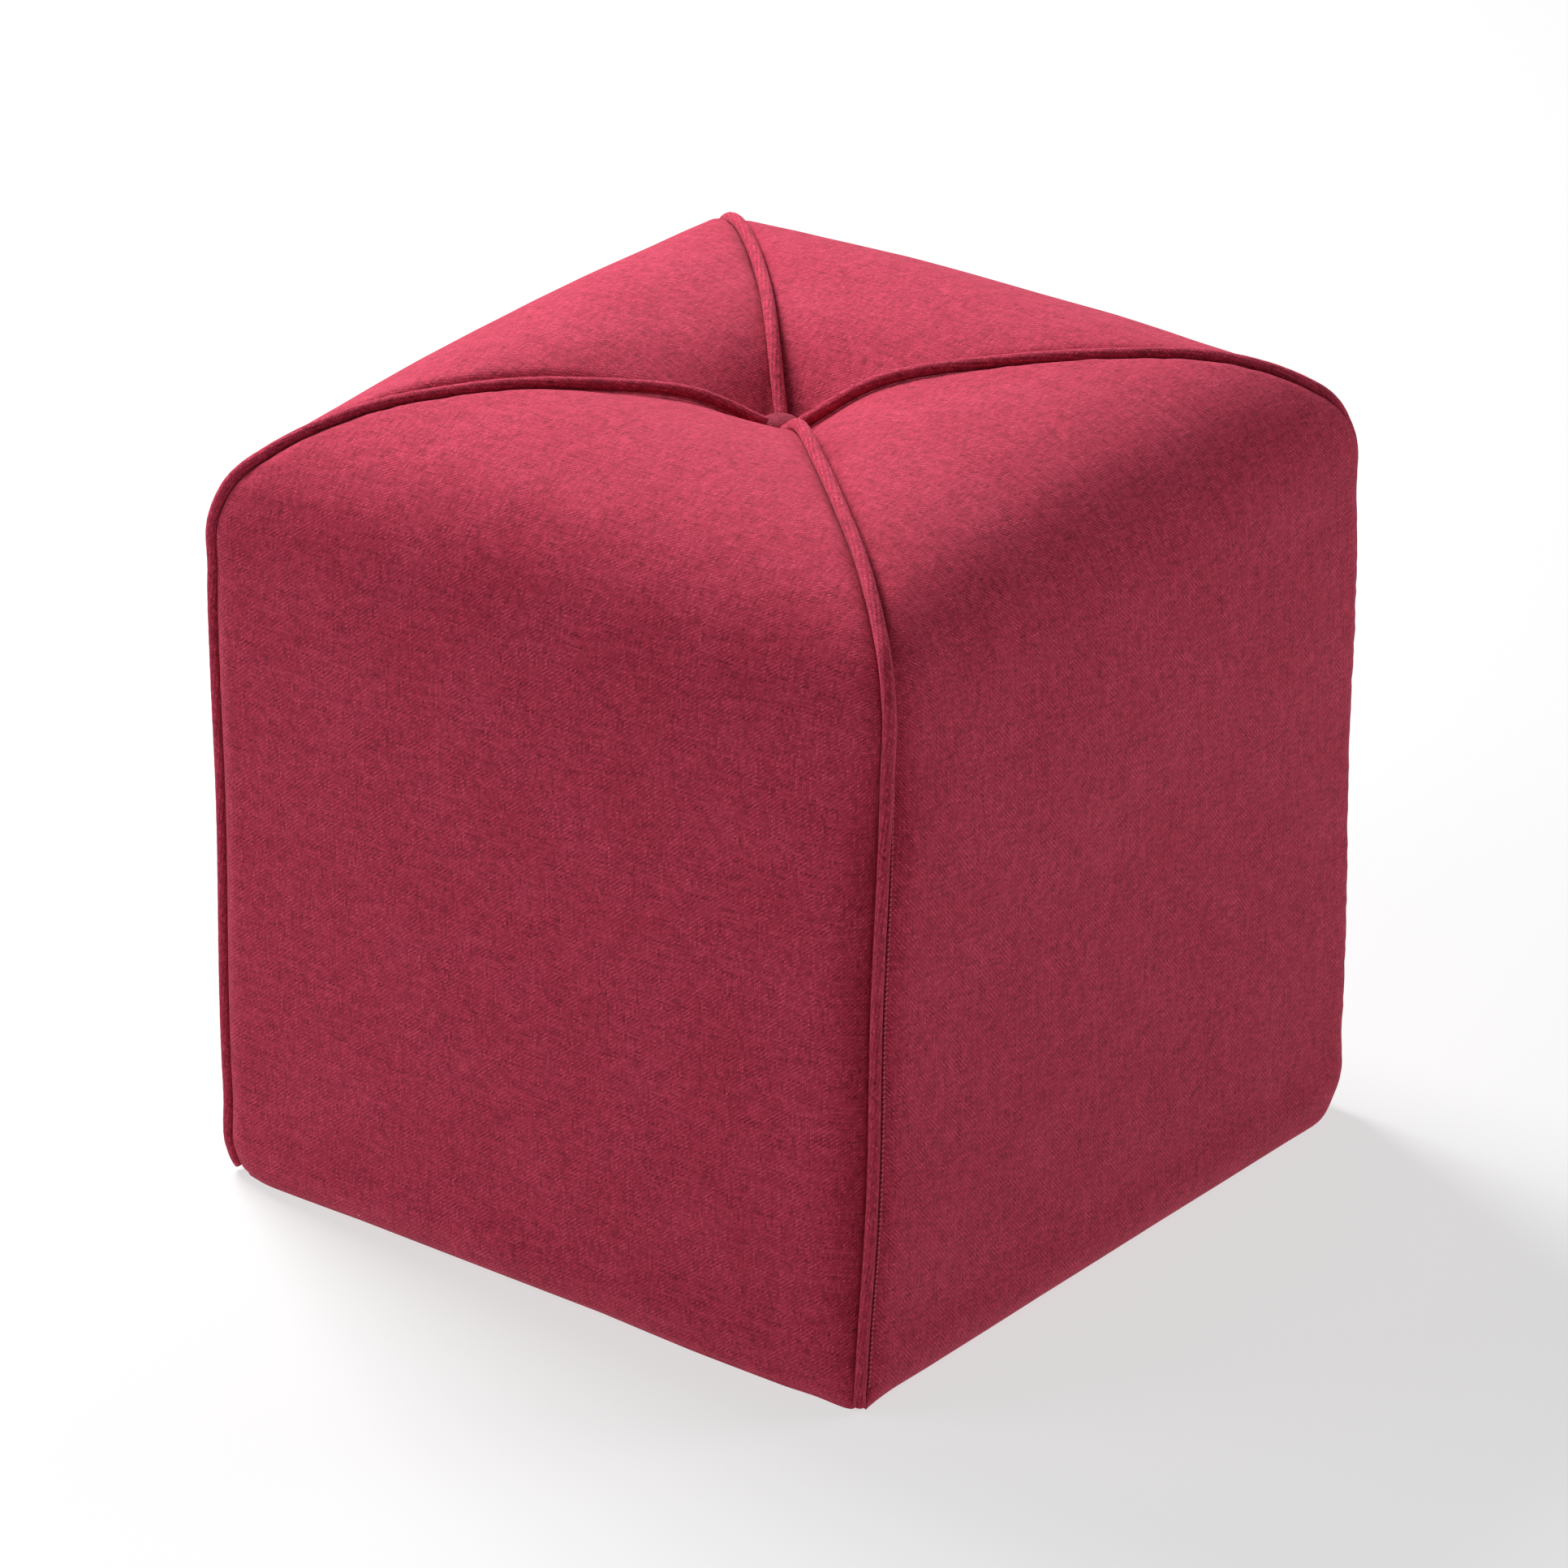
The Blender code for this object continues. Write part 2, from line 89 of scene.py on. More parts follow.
# ---------------- shape, as the solids have it
# Where the seams and the middles of the panels lie, from the button seat down to the hem: out from
# the middle of the pouf and up from the floor, in millimetres. Rise is how far the piping's axis
# stands proud of the seam, wrap is how many degrees of the piping the groove holds on each side,
# and rows is the number of rows of the mesh down to the next section.
Section = namedtuple("Section", "name seam_out seam_up mid_out mid_up rise wrap rows")
SECTIONS = (
    Section("seat", 9.0, 381.3, 9.5, 378.5, 2.2, 50.0, 9),
    Section("dish", 30.0, 397.0, 30.0, 395.5, 2.2, 50.0, 13),
    Section("inner_crown", 70.0, 404.5, 68.0, 408.0, 2.2, 50.0, 12),
    Section("crown", 110.0, 405.0, 108.0, 412.0, 2.2, 50.0, 11),
    Section("outer_crown", 145.0, 399.5, 143.0, 407.0, 2.2, 50.0, 9),
    Section("shoulder_high", 170.3, 386.6, 167.0, 397.0, 2.0, 54.0, 8),
    Section("shoulder", 183.4, 374.8, 185.0, 380.0, 1.7, 60.0, 8),
    Section("shoulder_low", 190.5, 357.0, 196.0, 358.0, 1.3, 66.0, 9),
    Section("wall_top", 191.6, 330.0, 200.5, 325.0, 0.8, 72.0, 34),
    Section("wall_middle", 191.5, 200.0, 201.5, 200.0, 0.6, 75.0, 42),
    Section("wall_low", 191.7, 40.0, 200.2, 40.0, 0.6, 75.0, 9),
    Section("hem_top", 190.9, 13.0, 199.2, 14.0, 0.4, 76.0, 6),
    Section("hem_roll", 189.4, 4.0, 194.8, 4.2, 0.2, 77.0, 4),
    Section("hem", 187.8, 0.0, 189.5, 0.0, 0.0, 78.0, 0),
)
ROW_STEPS = [s.rows for s in SECTIONS[:-1]]

# What sets the corners apart. The turns are in degrees round the pouf, at the top and the foot. The
# rest is in millimetres. Lift raises a seam's top, reach moves its walls out, and foot its foot.
# Sway moves it aside in the middle of the top, and drift low on the wall. Swell raises the middle
# of the top, and hump its inner half. Tuck rounds the foot in, from tuck_up down.
Corner = namedtuple(
    "Corner",
    "name x_side y_side turn_top turn_low lift reach foot sway swell hump drift tuck tuck_up",
)
CORNERS = (
    Corner("front_right", 1, -1, 1.9, -0.7, -1.8, 0.2, 2.0, -1.4, -1.2, -0.6, 1.8, -3.0, 14.0),
    Corner("back_right", 1, 1, 0.6, -0.5, 2.7, 1.3, 2.5, -2.0, -1.0, 0.4, 0.0, 7.0, 36.0),
    Corner("back_left", -1, 1, -0.4, 0.3, 2.3, -0.2, 1.5, -3.6, -0.7, 4.5, 0.0, 5.0, 28.0),
    Corner("front_left", -1, -1, 2.7, -0.7, -0.6, 1.6, 1.5, -4.6, 2.4, -0.8, 0.0, 3.0, 24.0),
)
# A groove is turned to one side by some degrees, on the top and on the wall, and goes over from
# one to the other between two heights in millimetres.
Roll = namedtuple("Roll", "top wall from_up to_up")
ROLLS = {
    "front_right": Roll(-15.0, 20.0, 330.0, 280.0),
    "back_right": Roll(0.0, -60.0, 390.0, 366.0),
    "back_left": Roll(15.0, 0.0, 330.0, 280.0),
    "front_left": Roll(0.0, -15.0, 330.0, 280.0),
}
TOP_REACH = 180.0 * MM
FOOT_Z = 45.0 * MM
TURN_TOP_Z = 350.0 * MM
LIFT_FROM_Z = 200.0 * MM
LIFT_FULL = 200.0 * MM
REACH_FULL = 190.0 * MM
DRIFT_REACH = 220.0 * MM
TUCK_WIDTH = 22.0 * MM

# A panel goes anticlockwise from its start seam to its end seam. Swell raises the middle of its top
# and tuck draws in its foot, in millimetres. Turned panels have their weave turned by 90 degrees.
Panel = namedtuple("Panel", "name start end outward swell tuck turned")
PANELS = (
    Panel("front", "front_left", "front_right", (0.0, -1.0, 0.0), 0.0, 0.8, False),
    Panel("right", "front_right", "back_right", (1.0, 0.0, 0.0), 0.0, 1.0, True),
    Panel("back", "back_right", "back_left", (0.0, 1.0, 0.0), 1.0, 0.0, False),
    Panel("left", "back_left", "front_left", (-1.0, 0.0, 0.0), 5.0, 0.0, True),
)

# How far out the hem lies, in millimetres, from the start (0) to the end (1) of its panel.
Hem = namedtuple("Hem", "place out")
HEMS = {
    "front": (Hem(0.0, 4.0), Hem(0.2, 1.0), Hem(0.6, 1.0),
              Hem(0.75, 4.0), Hem(0.9, 5.0), Hem(1.0, 2.0)),
    "right": (Hem(0.0, -3.0), Hem(0.12, -2.0), Hem(0.35, -3.0),
              Hem(0.6, -2.0), Hem(0.9, 1.0), Hem(1.0, 3.0)),
    "back": (Hem(0.0, 3.0), Hem(0.3, -2.0), Hem(0.7, 1.5), Hem(1.0, 0.0)),
    "left": (Hem(0.0, 0.0), Hem(0.25, 2.0), Hem(0.6, -2.0), Hem(1.0, 3.0)),
}
HEM_Z = 12.0 * MM
HEM_POWER = 1.5
HEM_END_POWER = 0.25

GAP = 0.3 * MM                # between pieces that lie side by side
WELT_RADIUS = 2.85 * MM
WELT_FOOT_Z = 3.4 * MM
# The cloth lies closer to the piping at the groove's edge, the lip, than under the piping.
GROOVE_RADIUS = WELT_RADIUS + 1.5 * GAP
LIP_RADIUS = WELT_RADIUS + 0.5 * GAP
GROOVE_STEPS = 6
LIP_ROUNDS = 3
LIP_COLUMNS = (GROOVE_STEPS - 1, GROOVE_STEPS, GROOVE_STEPS + 1)
EDGE_WIDTH = 14.0 * MM        # the cloth rises steeply this near its seams
EDGE_POWER = 2.4
EDGE_SHARE = 0.45             # how much of a panel's fullness it rises there
FULLNESS_POWER = 2.2
EDGE_STOPS = (0.12, 0.25, 0.4, 0.55, 0.7, 0.85, 1.0)
FIELD_COLUMNS = 84
NARROW_SHARE = 0.6            # of half a row, where the row is too short for two edges

SEAT_OFF = (-0.9 * MM, -1.9 * MM)
SEAT_PULL = 150.0 * MM
BUTTON_OFF = (-2.3 * MM, -3.0 * MM)
BUTTON_RADIUS = 9.2 * MM
BUTTON_RIM_Z = 383.0 * MM
BUTTON_TOP_Z = 386.6 * MM
BUTTON_UNDER_Z = 380.8 * MM
SHANK_RADIUS = 3.0 * MM
SHANK_FOOT_Z = 372.0 * MM
SEAT_CENTRE_Z = 368.0 * MM
BASE_HALF = 172.2 * MM
RECESS_HALF = 176.0 * MM
RECESS_ROOF_HALF = 172.5 * MM
BASE_THICKNESS = 2.0 * MM
RECESS_CORNER = 12.0 * MM
RECESS_CORNER_STEPS = 12
BASE_CORNER = 14.5 * MM
CORE_Z = 200.0 * MM


def unit(rows):
    """Each row of an array, scaled to length 1."""
    return rows / np.linalg.norm(rows, axis=-1)[..., None]


def smooth_curve(points):
    """A smooth curve through the points of the sections, with each section's number of rows."""
    points = np.asarray(points, dtype=float)
    span = np.linalg.norm(np.diff(points, axis=0), axis=1)[:, None]
    slope = np.diff(points, axis=0) / span
    tangent = np.empty_like(points)
    tangent[1:-1] = (slope[:-1] * span[1:] + slope[1:] * span[:-1]) / (span[1:] + span[:-1])
    tangent[0] = slope[0]
    tangent[-1] = slope[-1]
    stretches = []
    for i, steps in enumerate(ROW_STEPS):
        share = np.linspace(0.0, 1.0, steps, endpoint=False)[:, None]
        from_start = 2 * share**3 - 3 * share**2 + 1
        leave = (share**3 - 2 * share**2 + share) * span[i]
        arrive = (share**3 - share**2) * span[i]
        stretches.append(
            from_start * points[i] + leave * tangent[i]
            + (1 - from_start) * points[i + 1] + arrive * tangent[i + 1]
        )
    stretches.append(points[-1:])
    return np.concatenate(stretches)


def seam_profile():
    return smooth_curve([(s.seam_out * MM, s.seam_up * MM) for s in SECTIONS])


def middle_profile():
    return smooth_curve([(s.mid_out * MM, s.mid_up * MM) for s in SECTIONS])


def by_row(column):
    """A column of the section table, for every row."""
    stations = np.concatenate([[0], np.cumsum(ROW_STEPS)])
    return np.interp(np.arange(stations[-1] + 1), stations, column)


def top_bump(out, turns):
    share = np.clip((out - out[0]) / TOP_REACH * turns, 0.0, 1.0)
    return np.sin(pi * share) ** 2


def seam_line(corner, tucked):
    """The line where two panels' cloths meet, from the button seat to the hem."""
    out, up = seam_profile().T
    middle = top_bump(out, 1.0)
    inner = top_bump(out, 2.0)
    pull = (1.0 - np.clip((out - out[0]) / SEAT_PULL, 0.0, 1.0)) ** 2
    lift = corner.lift * np.clip((up - LIFT_FROM_Z) / LIFT_FULL, 0.0, 1.0) * (1.0 - pull)
    height = up + (lift + corner.swell * middle + corner.hump * inner) * MM
    foot = corner.foot * np.clip(1.0 - up / FOOT_Z, 0.0, 1.0)
    out = out + (corner.reach * np.clip(out / REACH_FULL, 0.0, 1.0) ** 2 + foot) * MM
    turn_share = np.clip(up / TURN_TOP_Z, 0.0, 1.0)
    turn = np.radians(corner.turn_low + (corner.turn_top - corner.turn_low) * turn_share)
    if tucked:
        rounding = np.clip(1.0 - up / MM / corner.tuck_up, 0.0, 1.0) ** 2
        out = out - corner.tuck * MM * rounding / sqrt(2.0)
    drift = corner.drift * np.sin(pi * np.clip(up / DRIFT_REACH, 0.0, 1.0)) ** 2
    sway = (corner.sway * middle + drift) * MM / sqrt(2.0)
    x = out * corner.x_side - sway * corner.y_side
    y = out * corner.y_side + sway * corner.x_side
    return np.stack([
        np.cos(turn) * x - np.sin(turn) * y + SEAT_OFF[0] * pull,
        np.sin(turn) * x + np.cos(turn) * y + SEAT_OFF[1] * pull,
        height,
    ], axis=-1)


def seam_frame(line):
    """For each point of a seam: which way is proud of the cloth, and which way is anticlockwise."""
    along = unit(np.gradient(line, axis=0))
    away = unit(line * (1.0, 1.0, 0.0))
    across = np.cross(UP, away)
    proud = unit(np.cross(across, along))
    outward = line - (0.0, 0.0, CORE_Z)
    proud = proud * np.sign(np.sum(proud * outward, axis=1))[:, None]
    return proud, across


class Seam:
    """One corner's seam: its line, its piping's axis and its groove."""

    def __init__(self, corner, tucked=True):
        self.line = seam_line(corner, tucked)
        self.proud, self.across = seam_frame(self.line)
        rise = by_row([s.rise * MM for s in SECTIONS])[:, None]
        self.welt_axis = self.line + self.proud * rise
        roll = ROLLS[corner.name]
        share = (roll.from_up - self.line[:, 2] / MM) / (roll.from_up - roll.to_up)
        self.roll = roll.top + (roll.wall - roll.top) * np.clip(share, 0.0, 1.0)

    def groove(self, outward):
        """The lines of the cloth round the piping, from under it to the panel facing outward."""
        side = np.sign(self.across @ np.array(outward))
        reach = np.radians(by_row([s.wrap for s in SECTIONS]) + side * self.roll)
        lines = []
        for step in range(GROOVE_STEPS + 1):
            turn = (reach * step / GROOVE_STEPS)[:, None]
            direction = -np.cos(turn) * self.proud + np.sin(turn) * side[:, None] * self.across
            radius = GROOVE_RADIUS + (LIP_RADIUS - GROOVE_RADIUS) * (step / GROOVE_STEPS) ** 3
            lines.append(self.welt_axis + radius * direction)
        return lines


def column_places(length):
    """Places of the columns between two seams, as distances from the first one."""
    width = min(EDGE_WIDTH, length / 2 * NARROW_SHARE)
    edge = [width * stop for stop in EDGE_STOPS]
    field = np.linspace(width, length - width, FIELD_COLUMNS + 1)[1:-1]
    far_edge = [length - distance for distance in reversed(edge)]
    return np.array([0.0] + edge + list(field) + far_edge + [length]), width


def panel_row(start, end, bulge, outward, tucks):
    """One row of a panel's cloth between two seams, crowned and drawn in at its ends by tucks."""
    length = np.linalg.norm(end - start)
    places, width = column_places(length)
    across = places / length
    base = start + (end - start) * across[:, None]
    to_edge = np.minimum(places, length - places)
    edge = 1.0 - np.clip(1.0 - to_edge / width, 0.0, 1.0) ** EDGE_POWER
    field = 1.0 - np.abs(2.0 * across - 1.0) ** FULLNESS_POWER
    full = EDGE_SHARE * edge + (1.0 - EDGE_SHARE) * field
    lift = bulge[0] * np.array(outward) + bulge[1] * np.array(UP)
    row = base + full[:, None] * lift
    for tuck, distance in zip(tucks, (places, length - places)):
        follow = 0.5 + 0.5 * np.cos(pi * np.clip(distance / TUCK_WIDTH, 0.0, 1.0))
        row = row + follow[:, None] * tuck
    return row


def fullness(panel):
    """How far the middle of a panel stands out and up from its seams, row by row."""
    middle = middle_profile()
    tucked = np.clip(1.0 - middle[:, 1] / FOOT_Z, 0.0, 1.0)
    middle[:, 1] += panel.swell * MM * top_bump(middle[:, 0], 1.0)
    middle[:, 0] -= panel.tuck * MM * tucked
    return middle - seam_profile()


def hem_shift(panel, points):
    """How far outward each point of a row near the hem lies."""
    along = np.cross(UP, panel.outward)
    side = points @ along
    place = np.clip((side - side[0]) / (side[-1] - side[0]), 0.0, 1.0)
    hems = HEMS[panel.name]
    out = np.interp(place, [hem.place for hem in hems], [hem.out for hem in hems])
    inside = np.sin(pi * place) ** HEM_END_POWER
    low = np.clip(1.0 - points[:, 2] / HEM_Z, 0.0, 1.0) ** HEM_POWER
    return (out * MM * low * inside)[:, None] * np.array(panel.outward)


def panel_grid(panel, seams, upright_seams):
    """The cloth of a panel as a grid of points, rows from the button seat to the hem."""
    near = seams[panel.start].groove(panel.outward)
    far = seams[panel.end].groove(panel.outward)
    near_edge = upright_seams[panel.start].groove(panel.outward)[-1]
    far_edge = upright_seams[panel.end].groove(panel.outward)[-1]
    rows = []
    for i, bulge in enumerate(fullness(panel)):
        tucks = (near[-1][i] - near_edge[i], far[-1][i] - far_edge[i])
        cloth = panel_row(near_edge[i], far_edge[i], bulge, panel.outward, tucks)
        cloth = cloth + hem_shift(panel, cloth)
        row = [line[i] for line in near[:-1]] + list(cloth) + [line[i] for line in far[-2::-1]]
        rows.append(np.array(row))
    rows[-1][:, 2] = 0.0
    return np.array(rows)


# ---------------- the unevenness of filled cloth
# A fold is a soft ridge (height above 0) or trough from one place to another on a panel. Places are
# metres across from the panel's middle and metres up the cloth from the hem. Width is half the
# width of the fold, and height is in millimetres.
Fold = namedtuple("Fold", "panel from_across from_up to_across to_up width height")
FOLDS = (
    Fold("front", -0.02, 0.520, 0.02, 0.470, 0.030, -0.5),
)
# A hollow is where a panel's cloth sinks beside the piping at its start or its end. Its depth, its
# reach and the heights between which it comes in are in millimetres.
Hollow = namedtuple("Hollow", "panel at_start depth reach from_up to_up")
HOLLOWS = (
    Hollow("right", True, 3.0, 11.0, 250.0, 310.0),
    Hollow("front", False, 7.0, 15.0, 340.0, 270.0),
    Hollow("back", False, 0.8, 5.0, 300.0, 360.0),
)
HOLLOW_FOOT = 60.0 * MM       # below this height a hollow fades out towards the hem
PUCKER_DEPTH = 0.22 * MM
PUCKER_REACH = 16.0 * MM
PUCKER_PITCH = 13.0 * MM
PUCKER_EDGE = 3.0 * MM        # beside the groove the puckers begin within this width
UNEVEN = 0.45 * MM
UNEVEN_SIZE = 0.16
FINE_SIZE = 0.045
FINE_SHARE = 0.16
SEAM_FADE = 12.0 * MM         # the unevenness fades out within these widths of the seams,
HEM_FADE = 40.0 * MM          # of the hem,
HEM_FLAT = 8.0 * MM
SEAT_FADE = 70.0 * MM         # and of the button
NOISE_WAVES = 9


def soft_noise(across, up, size, seed):
    """A smooth uneven field of about -1 to 1 made of a few crossing waves, size metres apart."""
    rng = np.random.default_rng(seed)
    total = np.zeros_like(across)
    for _ in range(NOISE_WAVES):
        turn = rng.uniform(0.0, 2 * pi)
        pitch = size * rng.uniform(0.7, 1.6)
        phase = rng.uniform(0.0, 2 * pi)
        total += np.sin(2 * pi * (across * cos(turn) + up * sin(turn)) / pitch + phase)
    return total / sqrt(NOISE_WAVES)


def along_rows(grid):
    """The length of each row of a grid up to each of its points."""
    step = np.linalg.norm(np.diff(grid, axis=1), axis=2)
    return np.concatenate([np.zeros((len(grid), 1)), np.cumsum(step, axis=1)], axis=1)


def cloth_places(grid, panel):
    """How far each point of a grid is across from the panel's middle, and up from the hem."""
    along = np.cross(UP, panel.outward)
    across = along_rows(grid)
    for i, row in enumerate(grid @ along):
        across[i] -= np.interp(0.0, row, across[i])
    middle = grid[:, grid.shape[1] // 2]
    fall = np.linalg.norm(np.diff(middle, axis=0), axis=1)
    up = np.concatenate([np.cumsum(fall[::-1])[::-1], [0.0]])
    return across, np.repeat(up[:, None], grid.shape[1], axis=1)


def normals_of(grid):
    """The direction across the cloth at each point, to one side of it."""
    down = np.gradient(grid, axis=0)
    over = np.gradient(grid, axis=1)
    return unit(np.cross(down, over))


def seam_distance(grid):
    """How far each point is from the nearer groove's edge, and whether that is the start's."""
    along = along_rows(grid)
    near = along - along[:, GROOVE_STEPS:GROOVE_STEPS + 1]
    far = along[:, -GROOVE_STEPS - 1:-GROOVE_STEPS] - along
    return np.minimum(near, far), near < far


def ease(values):
    """0 below 0, 1 above 1, and a smooth step in between."""
    values = np.clip(values, 0.0, 1.0)
    return values * values * (3.0 - 2.0 * values)


def fold_height(panel, across, up):
    """How high the folds of a panel raise each of its points."""
    total = np.zeros_like(across)
    for fold in FOLDS:
        if fold.panel != panel.name:
            continue
        run = np.array((fold.to_across - fold.from_across, fold.to_up - fold.from_up))
        length = np.linalg.norm(run)
        run = run / length
        ahead = (across - fold.from_across) * run[0] + (up - fold.from_up) * run[1]
        aside = (up - fold.from_up) * run[0] - (across - fold.from_across) * run[1]
        past = ahead - np.clip(ahead, 0.0, length)
        total += fold.height * MM * np.exp(-(aside**2 + past**2) / fold.width**2)
    return total


def sink_hollows(panel, seams, grid):
    """Lowers the cloth beside the piping, straight towards the seam's inside."""
    distance, at_start = seam_distance(grid)
    for hollow in HOLLOWS:
        if hollow.panel != panel.name:
            continue
        seam = seams[panel.start if hollow.at_start else panel.end]
        share = (seam.line[:, 2] / MM - hollow.from_up) / (hollow.to_up - hollow.from_up)
        depth = hollow.depth * MM * (ease(share) * ease(seam.line[:, 2] / HOLLOW_FOOT))[:, None]
        near = np.exp(-(np.maximum(distance, 0.0) / (hollow.reach * MM)) ** 2)
        near = near * (at_start == hollow.at_start)
        grid = grid - (depth * near)[..., None] * seam.proud[:, None]
    return grid


def unevenness(panel, grid, across, up, seed):
    """How far out of the smooth form each point of a panel lies."""
    distance, _ = seam_distance(grid)
    inside = ease(distance / SEAM_FADE)
    hem = ease((up - HEM_FLAT) / HEM_FADE)
    seat = ease((up.max() - up) / SEAT_FADE)
    low = soft_noise(across, up, UNEVEN_SIZE, seed) * UNEVEN
    fine = soft_noise(across, up, FINE_SIZE, seed + 1) * UNEVEN * FINE_SHARE
    pucker = soft_noise(up * 0.0, up, PUCKER_PITCH, seed + 2)
    pucker = pucker + 0.5 * soft_noise(up * 0.0, up, PUCKER_PITCH * 0.5, seed + 3)
    near_seam = np.clip(distance / PUCKER_EDGE, 0.0, 1.0) * np.exp(-distance / PUCKER_REACH)
    pucker = pucker * PUCKER_DEPTH * near_seam * (distance > 0.0) * hem * seat
    return (low + fine + fold_height(panel, across, up)) * inside * hem * seat + pucker


# ---------------- meshes
SHARP_ANGLE = radians(50.0)


def add_object(name, vertices, faces, uvs, material):
    """A mesh object with its cloth places, in metres, as a UV map."""
    mesh = bpy.data.meshes.new(name)
    mesh.from_pydata([tuple(v) for v in vertices], [], faces)
    layer = mesh.uv_layers.new(name="weave")
    corners = np.zeros(len(mesh.loops), dtype=np.int64)
    mesh.loops.foreach_get("vertex_index", corners)
    layer.uv.foreach_set("vector", np.asarray(uvs, dtype=np.float32)[corners].ravel())
    mesh.materials.append(material)
    mesh.shade_smooth()
    mesh.set_sharp_from_angle(angle=SHARP_ANGLE)
    obj = bpy.data.objects.new(name, mesh)
    link(obj)
    return obj


def tube_faces(rings, sides, first=0):
    """The sides of a tube of rings of points, which are numbered from first."""
    faces = []
    for ring in range(rings - 1):
        a = first + ring * sides
        b = a + sides
        for j in range(sides):
            k = (j + 1) % sides
            faces.append((a + j, a + k, b + k, b + j))
    return faces


def end_faces(rings, sides):
    """The ends of a tube, each a fan round its middle. The two middles follow the rings."""
    middle = rings * sides
    last = middle - sides
    faces = []
    for j in range(sides):
        k = (j + 1) % sides
        faces.append((middle, k, j))
        faces.append((middle + 1, last + j, last + k))
    return faces


def recess_line(panel, half, height, count):
    """A quarter of a square with round corners, on the side that the panel faces."""
    outward = np.array(panel.outward)
    along = np.cross(UP, outward)
    straight = half - RECESS_CORNER
    turn = pi / 4 * np.linspace(1.0, 0.0, RECESS_CORNER_STEPS, endpoint=False)
    bend = straight + RECESS_CORNER * np.sin(turn)
    flat = np.linspace(-straight, straight, count - 2 * RECESS_CORNER_STEPS)
    aside = np.concatenate([-bend, flat, bend[::-1]])
    turns = np.concatenate([turn, 0.0 * flat, turn[::-1]])
    out = straight + RECESS_CORNER * np.cos(turns)
    up = np.array((0.0, 0.0, height))
    return out[:, None] * outward + aside[:, None] * along + up


def soften_lips(grid):
    """Rounds the edge where the cloth turns over into the groove."""
    for _ in range(LIP_ROUNDS):
        middle = 0.5 * grid[:, 1:-1] + 0.25 * (grid[:, :-2] + grid[:, 2:])
        for column in LIP_COLUMNS:
            grid[:, column] = middle[:, column - 1]
            grid[:, -1 - column] = middle[:, -column]
    return grid


RECESS_FALLS = (14.0 * MM, 18.0 * MM)     # how far past the hem the weave runs to its two lines


def panel_faces(rows, columns):
    """A closed skin: the cloth, two flat sides from the core, and fans at the seat and the foot."""
    seat = rows * columns
    foot = seat + 1
    core = seat + 2
    index = np.arange(rows * columns).reshape(rows, columns).tolist()
    faces = []
    for upper, lower in zip(index, index[1:]):
        for i in range(columns - 1):
            faces.append((upper[i], lower[i], lower[i + 1], upper[i + 1]))
    for i in range(columns - 1):
        faces.append((seat, index[0][i], index[0][i + 1]))
        faces.append((foot, index[-1][i + 1], index[-1][i]))
    for column, order in ((0, 1), (-1, -1)):
        rim = [seat] + [row[column] for row in index] + [foot]
        for upper, lower in zip(rim, rim[1:]):
            faces.append((core, lower, upper)[::order])
    return faces


def build_panel(panel, seams, upright_seams, material, seed):
    """A panel's piece, with the points and the outward directions of its cloth."""
    grid = soften_lips(panel_grid(panel, seams, upright_seams))
    grid = sink_hollows(panel, seams, grid)
    across, up = cloth_places(grid, panel)
    normal = normals_of(grid)
    outward = np.array(panel.outward)
    facing = np.sign(np.sum(normal * (outward + UP), axis=2).mean())
    grid = grid + normal * facing * unevenness(panel, grid, across, up, seed)[..., None]
    columns = grid.shape[1]
    roof_z = BASE_THICKNESS + GAP
    under = recess_line(panel, RECESS_HALF, 0.0, columns)
    over = recess_line(panel, RECESS_ROOF_HALF, roof_z, columns)
    rows = np.concatenate([grid, under[None], over[None]])
    across = np.concatenate([across, across[-1:], across[-1:]])
    up = np.concatenate([up] + [up[-1:] - fall for fall in RECESS_FALLS])
    places = np.stack([across.ravel(), up.ravel()], axis=1)
    if panel.turned:
        places = places[:, ::-1] * (1.0, -1.0)
    middles = np.array([(*SEAT_OFF, SEAT_CENTRE_Z), (0.0, 0.0, roof_z), (0.0, 0.0, CORE_Z)])
    places = np.concatenate([places, np.zeros((len(middles), 2))])
    apart = outward * GAP / sqrt(2.0)
    points = np.concatenate([rows.reshape(-1, 3), middles]) + apart
    faces = panel_faces(len(rows), columns)
    cloth = add_object("cloth_" + panel.name, points, faces, places, material)
    return cloth, grid + apart, normals_of(grid) * facing


def along_line(line):
    """The length of a line of points up to each of them."""
    step = np.linalg.norm(np.diff(line, axis=0), axis=1)
    return np.concatenate([[0.0], np.cumsum(step)])


def between(distances, known, values):
    """Points or directions of a line at some distances, from those at the known distances."""
    return np.stack([np.interp(distances, known, values[:, k]) for k in range(3)], axis=-1)


STITCHED = ("right", "left")
STITCH_PITCH = 2.5 * MM
STITCH_HALF = 1.2 * MM
STITCH_RADIUS = 0.54 * MM
STITCH_RISE = 0.62 * MM
STITCH_TOP = 0.9              # a stitch's middle is this share of its rise above the cloth
STITCH_ENDS = 1.05            # above 1, so that its ends are small flat faces
STITCH_SLANT = radians(9.0)
STITCH_FROM_Z = 12.0 * MM
STITCH_TO_Z = 322.0 * MM
STITCH_RINGS = 7
STITCH_SIDES = 8
STITCH_COLUMN = GROOVE_STEPS  # they lie along the groove's edge


